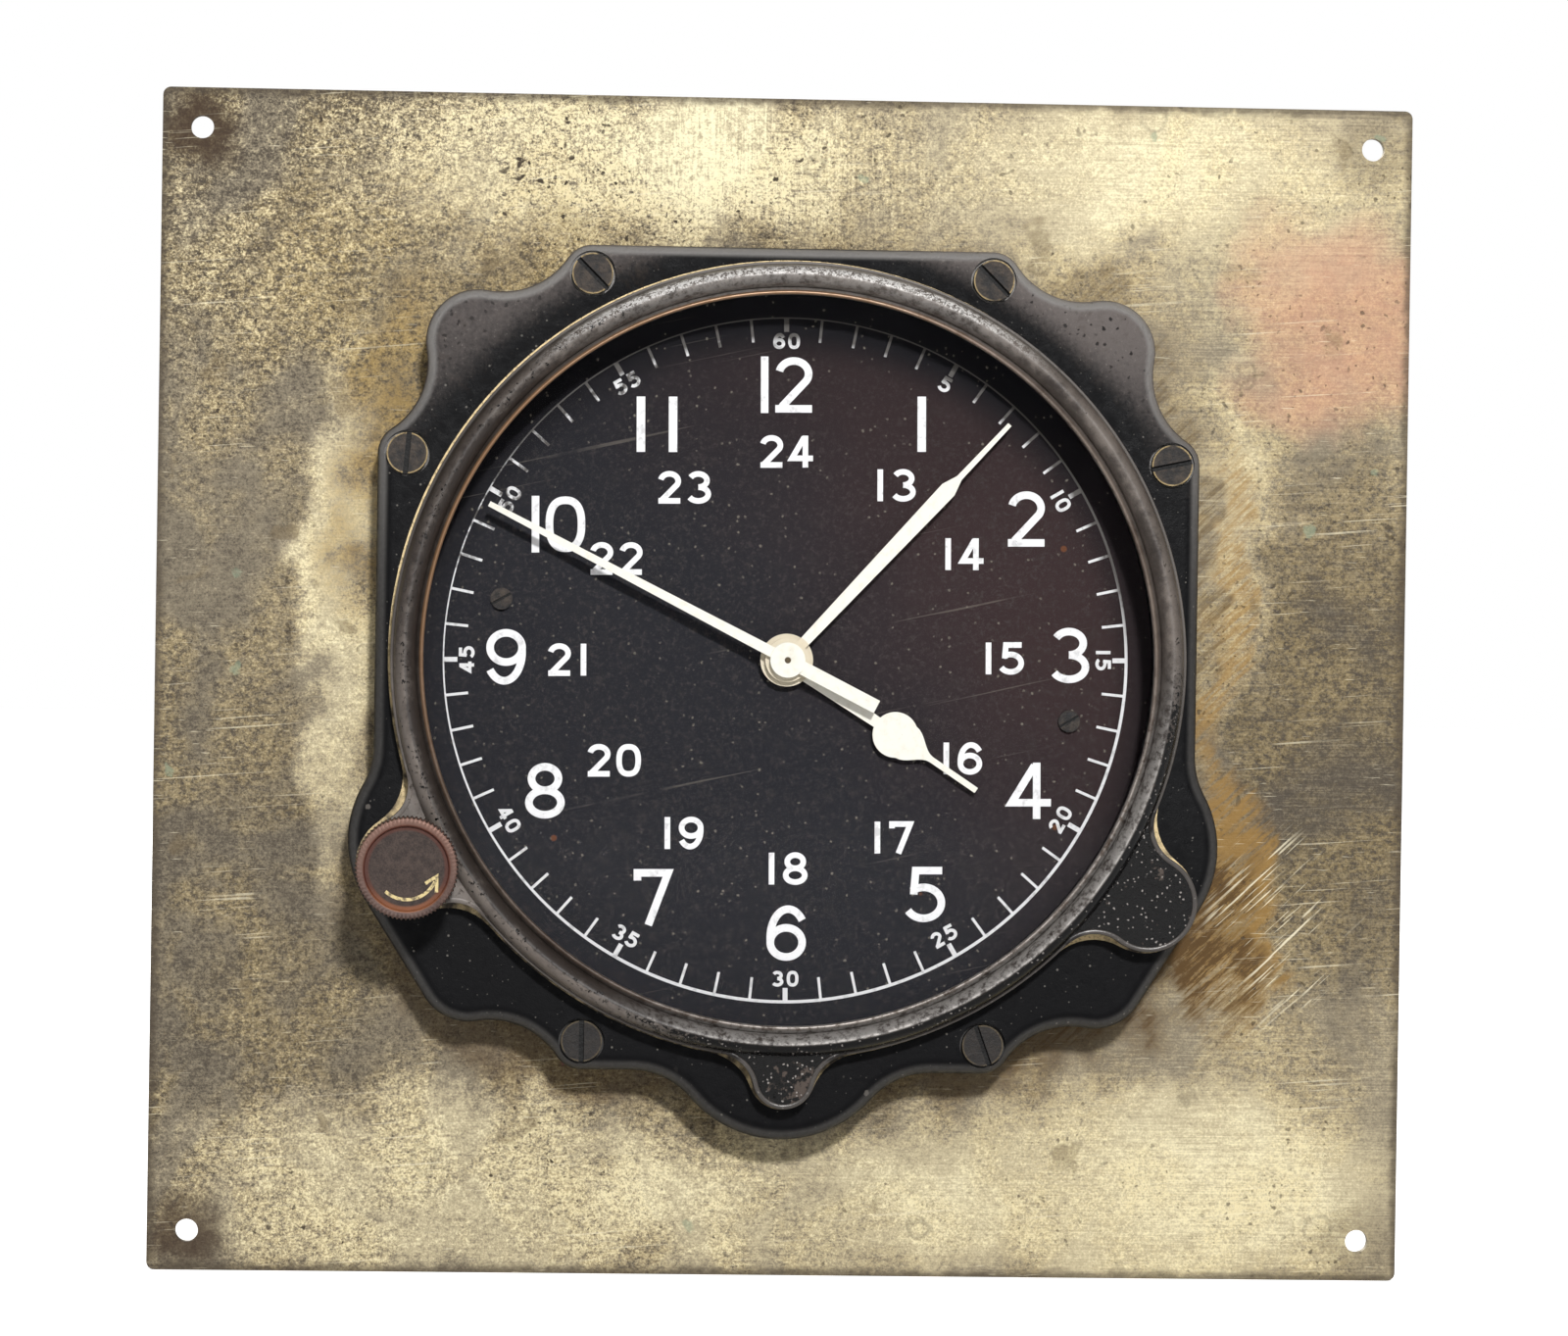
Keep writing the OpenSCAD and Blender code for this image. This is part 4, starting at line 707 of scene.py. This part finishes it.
def bezel_finish():
    finish, spot, x, y, z = new_finish("bezel_worn_paint")
    level = y * -1
    up = z - clock_rise
    away = (x ** 2 + up ** 2) ** 0.5
    clouds = spot.noise(0.16, 5, 0.6)
    mottle = spot.noise(0.9, 6, 0.68)
    chips = spot.noise(1.9, 5, 0.75)
    grain = spot.noise(6.0, 3, 0.6)
    lower = (x * 0.62 - up).ramp(20, 38)
    upper = (x * 0.6 + up).ramp(0, 36)
    left = x.ramp(4, -22)
    roll = level.ramp(13.2, 13.5)
    outer = away.ramp(38.2, 38.4)
    crown = up.ramp(28, 37)
    across = away * 3.5 + mottle * 4.0 + clouds * 6.0
    streak = across.math("SINE", across)
    rub = clouds * 0.6 + mottle * 0.6 + upper * 0.2 + grain * 0.2 + streak * 0.08 - 0.55
    rub = (rub + outer * left * up.ramp(8, -10) * 0.3).ramp(0.05, 0.65)
    # Bare metal where the paint has worn off the roll at the lower right, and a painted sheen along the crown
    # at the top.
    bare_and_crown_sheen = roll * lower.over(crown * 0.5) * (1 - outer * lower) * (chips * 0.5 + mottle * 0.5).ramp(0.4, 0.56)
    # Painted glints: bright white specks along the crown.
    painted_crown_glints = (chips * 0.6 + grain * 0.4).ramp(0.46, 0.54) * abs(away - 38.75).ramp(0.5, 0.2) * crown
    flake = chips.ramp(0.57, 0.61) * abs(away - 38.3).ramp(0.75, 0.3) * left * clouds.ramp(0.4, 0.52)
    gone = chips * 0.8 + mottle * 0.4 + lower * 0.16 - upper * 0.14 - left * 0.12
    gone = gone.ramp(0.56, 0.64) * outer * roll.over(0.4)
    black = flake.over(gone)
    above = level - lobe_floor
    floor = away.ramp(38.9, 39.0) * above.ramp(-0.03, -0.01) * above.ramp(0.06, 0.02)
    patchy = (mottle * 0.7 + clouds * 0.5 + up.ramp(-38, -43) * 0.11).ramp(0.7, 0.75)
    # Painted glints: light grey specks on the lobes' floors and on the flaked spots.
    painted_floor_glints = spot.warp(2.0, 0.4).specks(2.1, 0.27, 0.6) * floor.over(gone * 0.7)
    lip = away.ramp(36.86, 36.8) * level.ramp(13.4, 13.6)
    warm = (up - x * 0.8).ramp(6, 40)
    edge = away.ramp(39.34, 39.46) * level.ramp(12.9, 13.05) * level.ramp(13.17, 13.15)
    edge = edge.over(level.ramp(13.22, 13.32) * away.ramp(39.9, 40.2))
    metal = bare_and_crown_sheen * 0.5 + lip * (0.1 + warm * 0.3) + rub * roll * 0.15 + edge * 0.2
    relief = mottle * 0.25 + grain * 0.12 - black * 1.2 + floor * chips * 0.3
    # In these layers the edge line's grey grows towards the upper right as a painted highlight.
    layers = [(rub, "756c65"), (bare_and_crown_sheen * 0.85, "9f9b97"), (painted_crown_glints * 0.85, "ebe8e4"), (black, "0a090a"),
              (floor * 0.8, "554a43"), (floor * (1 - patchy), "080707"), (painted_floor_glints * 0.8, "a39d98"),
              (lip * (0.05 + warm * 0.6 + mottle * 0.1), "94704f"), (edge * (0.4 + upper * 0.4), "6f6a66"),
              (level.ramp(12.9, 12.7), "141213")]
    return feed(finish, "332c28", layers, Specular_IOR_Level=0.35, Metallic=metal.ramp(0.0, 1.2),
                Normal=relief.bump(0.12, 0.7),
                Roughness=0.44 - black * 0.2 + bare_and_crown_sheen * 0.04 - lip * 0.1 - edge * 0.06 - floor * 0.22)


lobe_sheets = [(lobe_grid(*lobe), False, True) for lobe in lobes]
bezel = skin("bezel_ring", (turned(ring_profile(), (0, 0), 360), True, True), *lobe_sheets)
piece_of(bezel, "clock", "worn_paint", bezel_finish(), "bezel")


# Glass: a flat disc of clear glass in the rabbet under the bezel's lip. A black rubber ring
# behind it takes up the play.
def glass_finish():
    finish, spot, *_ = new_finish("clear_glass")
    tree = finish.node_tree
    clear = Shade(tree).add("BsdfTransparent")
    gloss = clear.add("BsdfGlossy", {}, {"Roughness": 0.04})
    facing = clear.add("Fresnel", {}, {"IOR": 1.45})
    dust = spot.specks(0.5, 0.05, 0.3)
    mixed = clear.add("MixShader", {}, {0: facing * 0.05 + dust * 0.05, 1: clear, 2: gloss})
    tree.links.new(mixed.socket, tree.nodes["Material Output"].inputs["Surface"])
    tree.nodes.remove(tree.nodes["Principled BSDF"])
    return finish


def rubber_finish():
    finish, spot, *_ = new_finish("gasket_rubber")
    bloom = spot.noise(0.6, 5, 0.6).ramp(0.4, 0.75)
    return feed(finish, "141414", [(bloom, "2b2a28")], Roughness=0.75, Normal=spot.noise(5.0).bump(0.05))


coat(glass_finish(), "crystal")
coat(rubber_finish(), "crystal_gasket")


# Dial: a charcoal-black painted disc with dust and faint scratches, held by two blackened
# screws. A painted reddish-brown reflection lies over its upper right, and painted shade
# under the bezel's lip darkens its top.
dial_face = levels("dial")[1]
dial_screws = [(-28.7, 5.75), (28.7, -5.75)]


def from_low(x, up):
    """Distance from a point below the dial's centre, so that a ring of painted shade under the bezel's lip is
    widest at the top.
    """
    return ((x + 0.8) ** 2 + (up + 3.6) ** 2) ** 0.5


def dial_finish():
    finish, spot, x, _, z = new_finish("dial_paint")
    up = z - clock_rise
    clouds = spot.noise(0.06, 5, 0.6)
    mottle = spot.noise(0.7, 6, 0.65)
    grain = spot.noise(7.0, 3, 0.6)
    # Painted reflection: a reddish-brown tint over the upper right, as the glass reflects it.
    painted_reflection = (x * 0.7 + up * 0.5 + clouds * 14).ramp(2, 30)
    fine = spot.noise(2.4, 5, 0.78)
    # Painted shade: a ring under the bezel's lip, widest at the top, and the dial darker towards the top.
    darkening = from_low(x, up).ramp(33.0, 37.5) * 0.7 + up.ramp(8, 34) * 0.35
    dust = spot.warp(2.0, 0.3).specks(1.2, 0.2, 0.4).over(spot.specks(0.45, 0.08, 0.4))
    dust = dust * fine.ramp(0.36, 0.6)
    rust = spot.specks(0.14, 0.055, 0.3) * mottle.ramp(0.3, 0.5)
    slant = spot.add("Mapping", {}, {"Vector": spot, "Rotation": (0.0, 0.22, 0.0)})
    scratch = slant.stretch(0.012, 1, 1).noise(2.4, 2, 0.5).ramp(0.7, 0.73) * clouds.ramp(0.45, 0.6)
    layers = [(painted_reflection * 0.85, "3a2b2b"), (mottle.ramp(0.5, 0.75) * 0.3, "3d3a37"),
              (fine.ramp(0.5, 0.68) * 0.5, "4e4946"), (darkening, "131216"), (dust * 0.6, "8b8578"),
              (rust * 0.8, "6f452c"), (scratch * 0.24, "8e877c")]
    return feed(finish, "25252a", layers, Specular_IOR_Level=0.08, Roughness=0.55 + mottle * 0.2,
                Normal=(grain + mottle).bump(0.004, 0.4))


coat(dial_finish(), "dial")
dial_screw_top = levels("dial_screws")[1]
dial_steel = screw_finish("dial_screw_steel", dial_screws, 1.1, dial_screw_top, "161516", 0.0)
coat(dial_steel, "dial_screws")


# Dial print: white paint laid on the dial, a ring with sixty ticks inside it and three rings of
# plain numbers. Every line is a ribbon of even width.
print_rise = 0.03
print_sunk = 0.005
print_turn = -0.73
top_share = 0.94
layer_step = 0.4
track_radius = 34.43
minutes_radius = 32.1


def ribbon(path, width, floor, rise, closed=False):
    """A flat band carried along a path: at each point its sides lie half a width out along the mitre of
    the two stretches that meet there. The width is one number or one for each point, and the band stands
    out of the floor by rise."""
    step = np.diff(path, axis=0, append=path[:1])
    step = step if closed else step[:-1]
    side = np.stack([-step[:, 1], step[:, 0]], 1) / np.linalg.norm(step, axis=1, keepdims=True)
    before = np.roll(side, 1, 0) if closed else np.concatenate([side[:1], side])
    after = side if closed else np.concatenate([side, side[-1:]])
    mitre = (before + after) / (1 + np.sum(before * after, 1, keepdims=True)) * width / 2
    low, top = floor - print_sunk, floor + rise
    section = [(-1, low), (-top_share, top), (top_share, top), (1, low)]
    return np.stack([raised(path + mitre * out, level) for out, level in section], 1), closed, True


def bow(x, y, wide, tall, start, end, steps=24, power=2.0):
    """An oval's points from one angle to another; a power over 2 squares its shoulders."""
    angle = np.radians(np.linspace(start, end, steps + 1))
    bend = [np.sign(f) * np.abs(f) ** (2 / power) for f in (np.cos(angle), np.sin(angle))]
    return np.stack([x + wide * bend[0], y + tall * bend[1]], 1)


def line(*points):
    """Straight stretches from point to point."""
    return np.array(points, float)


def loop(x, y, wide, tall, steps=36, power=2.0):
    """A whole oval as a closed path."""
    return bow(x, y, wide, tall, 0, 360, steps, power)[:-1], True


# Each figure's strokes in a box of width and height 1: a path, and whether it closes.
six = [loop(0.5, 0.305, 0.5, 0.305), (bow(0.56, 0.4, 0.56, 0.6, 188, 38), False)]
glyphs = {
    "0": [loop(0.5, 0.5, 0.5, 0.5, 48, 2.5)],
    "1": [(line((0, -0.09), (0, 1.09)), False)],
    "2": [(np.concatenate([bow(0.48, 0.73, 0.46, 0.27, 168, -30), line((0.1, 0.04))]), False),
          (line((-0.1, 0), (1.05, 0)), False)],
    "3": [(bow(0.46, 0.755, 0.45, 0.245, 152, -90), False), (bow(0.46, 0.255, 0.52, 0.255, 90, -152), False)],
    "4": [(line((0.66, 1.03), (0.02, 0.25), (1.12, 0.25)), False),
          (line((0.72, 1.09), (0.72, -0.09)), False)],
    "5": [(line((1.0, 1), (0.17, 1), (0.11, 0.5)), False), (bow(0.42, 0.325, 0.56, 0.325, 132, -150), False)],
    "6": six,
    "7": [(line((0.02, 0.84), (0.02, 1), (0.98, 1), (0.36, -0.09)), False)],
    "8": [loop(0.5, 0.755, 0.42, 0.245), loop(0.5, 0.255, 0.5, 0.255)],
    "9": [(1 - path, closed) for path, closed in six],
}


def number(text, centre, cap, width, stroke, gap, turn=0.0):
    """The ribbons of a number: its figures side by side about a centre, turned clockwise by turn. The gap is
    two numbers, the second for a space beside a 1."""
    wide = [stroke if figure == "1" else width for figure in text]
    steps = [w + gap[figure == "1" or text[1:] == "1"] for w, figure in zip(wide, text)]
    starts = np.cumsum([0] + steps[:-1])
    left = -(starts[-1] + wide[-1]) / 2
    angle = np.radians(turn)
    spin = np.array([[np.cos(angle), -np.sin(angle)], [np.sin(angle), np.cos(angle)]])
    for figure, start, w in zip(text, starts, wide):
        for layer, (path, closed) in enumerate(glyphs[figure]):
            flat = path * (w - stroke, cap - stroke) + (left + start + stroke / 2, (stroke - cap) / 2)
            rise = print_rise * (1 + layer_step * layer)
            yield ribbon(flat @ spin + centre, stroke, dial_face, rise, closed)


def at_hour(hour, radius):
    """The place at an hour of the twelve on a circle of this radius."""
    angle = np.radians(30 * hour + print_turn)
    return np.array([radius * np.sin(angle), radius * np.cos(angle)])


def print_finish():
    finish, spot, x, _, z = new_finish("print_white")
    up = z - clock_rise
    mottle = spot.noise(0.8, 6, 0.65)
    away = (x ** 2 + up ** 2) ** 0.5
    chipped = (up * 0.8 - x * 0.6).ramp(22, 30) * away.ramp(30.6, 30.9) * mottle.ramp(0.42, 0.56)
    # Painted shadow of the bezel's lip darkens the print at the top; it is joined with the chipped minute
    # numbers at the upper left and added to the print's wear below.
    shade = (from_low(x, up).ramp(35.2, 36.4) * 0.9).over(chipped * 0.75)
    wear_and_painted_light = mottle.ramp(0.52, 0.68) * 0.3 + shade + away.ramp(30.4, 30.9) * 0.12
    darkening = spot.noise(2.5, 4, 0.6).ramp(0.6, 0.75) * 0.35
    return feed(finish, "f4f4f5", [(wear_and_painted_light + darkening, "4a4642")], Roughness=0.6,
                Normal=spot.noise(4.0).bump(0.02, 0.4))


def track():
    """The closed ring, and a radial tick for each minute, short and wide at every fifth."""
    angle = np.linspace(0, 2 * np.pi, 240, endpoint=False)
    circle = np.stack([np.sin(angle), np.cos(angle)], 1)
    faded = np.clip(0.5 + (circle[:, 1:] * 0.8 - circle[:, :1] * 0.45), 0, 1)
    yield ribbon(track_radius * circle, 0.32 - 0.18 * faded, dial_face, print_rise, True)
    for minute in range(60):
        long, width = (1.4, 0.5) if minute % 5 == 0 else (2.3, 0.28)
        tick = np.stack([at_hour(minute / 5, track_radius), at_hour(minute / 5, track_radius - long)])
        yield ribbon(tick, width, dial_face, print_rise * (1 + layer_step))


def hour_numbers():
    """The large hours from 1 to 12. The 4 is wider, and the strokes of 1 and 11 are bolder."""
    places = [(13.36, 23.97), (24.16, 14.59), (28.75, 0.89), (24.76, -12.83),
              (14.53, -23.43), (0.45, -27.5), (-13.05, -24.02), (-24.05, -13.5),
              (-28.15, -0.1), (-23.09, 13.3), (-13.34, 23.51), (-0.25, 27.7)]
    for hour, place in enumerate(places, 1):
        width = 4.4 if hour == 4 else 4.0
        stroke = 0.88 if hour in (1, 11) else 0.78
        gap = (0.6, 2.35 if hour == 11 else 0.62)
        yield from number(str(hour), np.array(place), 5.6, width, stroke, gap, print_turn)


def day_numbers():
    """The small hours from 13 to 24."""
    places = [(10.93, 17.77), (17.9, 10.94), (22.15, 0.49), (18.03, -9.66),
              (11.19, -17.73), (0.55, -21.0), (-10.0, -17.56), (-17.16, -10.34),
              (-22.05, -0.29), (-17.19, 9.95), (-10.48, 17.21), (-0.25, 20.99)]
    for hour, place in enumerate(places, 13):
        yield from number(str(hour), np.array(place), 3.3, 2.5, 0.58, (0.45, 0.85), print_turn)


def minute_numbers():
    """Every fifth minute, turned to stand on its radius, and the other way up along the bottom."""
    for minute in range(5, 65, 5):
        turn = minute * 6 - (180 if 20 <= minute <= 40 else 0) + print_turn
        place = at_hour(minute / 5, minutes_radius)
        yield from number(str(minute), place, 1.6, 1.2, 0.34, (0.3, 0.45), turn)


white_print = print_finish()
for name, marks in (("minute_track", track()), ("hour_numbers", hour_numbers()),
                    ("day_numbers", day_numbers()), ("minute_numbers", minute_numbers())):
    piece_of(skin(name, *marks), "clock", "hand_white", white_print)


# Hands: thin steel blades painted cream white, pressed on the stacked arbors. The hubs show
# their brass where the paint has gone.
def hand_finish():
    finish, spot, x, y, z = new_finish("hand_cream")
    away = (x ** 2 + (z - clock_rise) ** 2) ** 0.5
    mottle = spot.noise(1.2, 5, 0.6)
    hub = away.ramp(2.75, 2.6) * away.ramp(1.72, 1.85) * y.ramp(-9.0, -8.9)
    chips = spot.noise(3.0, 4, 0.6).ramp(0.68, 0.74)
    layers = [(mottle.ramp(0.45, 0.8) * 0.4, "cfc6ae"), (hub * 0.55, "cdb88c"), (chips * 0.5, "8a7c62")]
    return feed(finish, "f1eee2", layers, Roughness=0.5, Normal=mottle.bump(0.02, 0.4))


coat(hand_finish(), "hour_hand", "minute_hand", "seconds_hand")


# Winding knob: turned copper alloy with a knurled rim and a sunk dark face. A curved arrow cut
# in the face shows the way it winds. The bush on the left lobe guides its stem.
knob_base = 16.4
knob_back, knob_top = levels("winding_knob")
knob_neck = 2.4
knob_radius = 5.1
rim_round = 0.24
knob_face = knob_top - 0.5
face_radius = 4.1
knurls = 72
knurl_depth = 0.2


def knob_grid():
    """A lathe profile whose outer wall waves in and out with the angle, once for each knurl."""
    rim, full = knob_radius - rim_round, knob_radius - 0.04
    profile = np.array([
        (0, knob_back), (knob_neck, knob_back), (knob_neck, knob_base), (knob_radius - 0.5, knob_base),
        (knob_radius, knob_base + 0.4), (knob_radius, knob_top - 0.5), (full, knob_top - 0.2),
        (knob_radius - 0.12, knob_top - 0.06), (rim, knob_top), (face_radius + 0.18, knob_top),
        (face_radius + 0.08, knob_top - 0.06), (face_radius, knob_top - 0.2), (face_radius, knob_face),
        (0, knob_face)])
    steps = knurls * 6
    grid = turned(profile, (0, 0), steps)
    wave = 0.5 - 0.5 * np.cos(np.linspace(0, 2 * np.pi * knurls, steps, endpoint=False))
    depth = np.interp(profile[:, 0], [rim, full], [0.0, knurl_depth])
    shrink = 1 - depth[:, None] * wave / np.maximum(profile[:, :1], 1)
    grid[..., :2] = grid[..., :2] * shrink[..., None] + stem_place
    return grid


def knob_finish():
    finish, spot, x, y, z = new_finish("copper_knob")
    level = y * -1
    across = x - stem_place[0]
    up = z - (stem_place[1] + clock_rise)
    away = (across ** 2 + up ** 2) ** 0.5
    mottle = spot.noise(1.1, 6, 0.66)
    grain = spot.noise(6.0, 3, 0.6)
    face = away.ramp(face_radius + 0.1, face_radius - 0.05) * level.ramp(knob_face + 0.45, knob_face + 0.3)
    dirt = (mottle * 0.7 + grain * 0.4).ramp(0.4, 0.7).paint("23150f", "4c3d36")
    wall = abs(away - face_radius + 0.1).ramp(0.4, 0.12) * level.ramp(knob_face - 0.05, knob_face + 0.02)
    side = level.ramp(knob_top - 0.3, knob_top - 0.9)
    # Painted light: the upper half of the knob is lighter as a highlight, and the lower part of the face's
    # wall is a brighter copper glint.
    layers = [(up.ramp(-5, 5), "7c5c50"), (mottle.ramp(0.4, 0.65) * 0.4, "6d544a"), (face, dirt),
              (wall * 0.85, up.ramp(-1, -4).paint("5c2716", "a3623a")), (side * 0.7, "2c211b"),
              (grain.ramp(0.6, 0.72) * 0.5, "3f2e27")]
    return feed(finish, "42302a", layers, Metallic=0.4 - face * 0.25,
                Roughness=0.45 + face * 0.15 + mottle * 0.1, Normal=(mottle + grain * 0.5).bump(0.06, 0.7))


knob = skin("knurled_knob", (knob_grid(), False, True))
piece_of(knob, "knob", "copper_knob", knob_finish(), "winding_knob")


arrow_radius = 3.05
arrow_barb = 0.7
arrow_stroke = 0.34


def arrow():
    """A curved shaft along the lower face, and a bent stroke for its head at the right."""
    shaft = bow(*stem_place, arrow_radius, arrow_radius, -132, -24, 30)
    bends = ((arrow_radius + arrow_barb, -38), (arrow_radius, -14), (arrow_radius - arrow_barb, -38))
    head = np.concatenate([bow(*stem_place, radius, radius, angle, angle, 0) for radius, angle in bends])
    yield ribbon(shaft, arrow_stroke, knob_face, print_rise)
    yield ribbon(head, arrow_stroke, knob_face, print_rise * 1.5)


def arrow_finish():
    finish, spot, *_ = new_finish("arrow_brass")
    gone = spot.noise(2.4, 4, 0.65).ramp(0.46, 0.62)
    return feed(finish, "d3bf88", [(gone * 0.8, "4a3a2c")], Roughness=0.5, Metallic=0.2 - gone * 0.2,
                Normal=gone.bump(0.02, 0.5))


piece_of(skin("winding_arrow", *arrow()), "knob", "brass", arrow_finish())


# Click spring: a blued steel leaf on a round foot, behind the dial. Its tip lies along the
# click; on the clock the leaf bends when the click lifts, but here it is one fixed mesh and
# the points where it would bend are only worked out.
leaf_foot = np.array([-20.16, 7.785])
leaf_tip = np.array([-14.089, 2.518])
leaf_level = 3.3
leaf_width = 0.4
leaf_height = 0.8
foot_radius = 1.2
held_share = 0.2
foot_profile = [(0, plate_front), (foot_radius, plate_front), (foot_radius, leaf_level), (0, leaf_level)]
leaf = skin("click_leaf", (turned(foot_profile, leaf_foot, 32), False, True),
            ribbon(np.linspace(leaf_foot, leaf_tip, 33), leaf_width, leaf_level, leaf_height))
leaf.data.materials.append(blued)
held_end = leaf_foot + (leaf_tip - leaf_foot) * held_share
bend = [Vector(in_frame([*place, leaf_level])) for place in (held_end, leaf_tip)]
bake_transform(leaf)
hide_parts("click_spring")


# Camera, light and floor: the photograph's view from a little left of square, a soft lamp above
# the camera and one behind the plate, white all round, and a pale floor under the plate.
def studio():
    """The camera turned, lifted and rolled about a target, lamps that face the origin, world and floor."""
    scene = bpy.context.scene
    scene.view_settings.view_transform = "Standard"
    turn, lift, roll = np.radians([-3.18, 0.3, 0.87])
    back = Vector((np.sin(turn) * np.cos(lift), -np.cos(turn) * np.cos(lift), np.sin(lift)))
    level = Vector((np.cos(turn), np.sin(turn), 0))
    rise = back.cross(level)
    right = level * np.cos(roll) + rise * np.sin(roll)
    up = rise * np.cos(roll) - level * np.sin(roll)
    target, distance = Vector((-0.00012, -0.005, 0.00199)), 0.6
    focal_pixels, image_width, sensor = 6069, 1600, 36
    camera = put("camera", bpy.data.cameras.new("camera"))
    camera.data.sensor_width = sensor
    camera.data.sensor_fit = "HORIZONTAL"
    camera.data.lens = focal_pixels * sensor / image_width
    facing = Matrix((right, up, back)).transposed().to_4x4()
    camera.matrix_world = Matrix.Translation(target + back * distance) @ facing
    scene.camera = camera
    lamps = [("key", (0.12, -1.45, 0.55), 0.12, 18.8), ("rear", (-0.5, 1.35, 0.6), 0.5, 17.0)]
    for name, place, size, energy in lamps:
        lamp = put(name, bpy.data.lights.new(name, "AREA"))
        lamp.data.shape = "DISK"
        lamp.data.size = size
        lamp.data.energy = energy
        lamp.location = place
        lamp.rotation_mode = "QUATERNION"
        lamp.rotation_quaternion = (-lamp.location).to_track_quat("-Z", "Y")
    world = bpy.data.worlds.new("world")
    world.use_nodes = True
    scene.world = world
    background = world.node_tree.nodes["Background"]
    camera_ray = Shade(world.node_tree).add("LightPath", out="Is Camera Ray")
    through = camera_ray.add("LightPath", out="Is Transmission Ray")
    fill = 0.28
    plug(background, {"Color": "ffffff", "Strength": fill + camera_ray.over(through) * (1 - fill)})
    low, reach = cad_box[0].z, 4
    mesh = bpy.data.meshes.new("floor")
    corners = [(-reach, -reach, low), (reach, -reach, low), (reach, reach, low), (-reach, reach, low)]
    mesh.from_pydata(corners, [], [(0, 1, 2, 3)])
    put("floor", mesh)
    paper, spot, *_ = new_finish("floor_paper")
    glow = spot.add("LightPath", out="Is Camera Ray").paint((0, 0, 0, 1), (0.8, 0.8, 0.8, 1))
    feed(paper, "ececec", [(spot.noise(0.01), "f0f0f0")], Roughness=0.9, Emission_Strength=1.0,
         Emission_Color=glow)
    mesh.materials.append(paper)


studio()
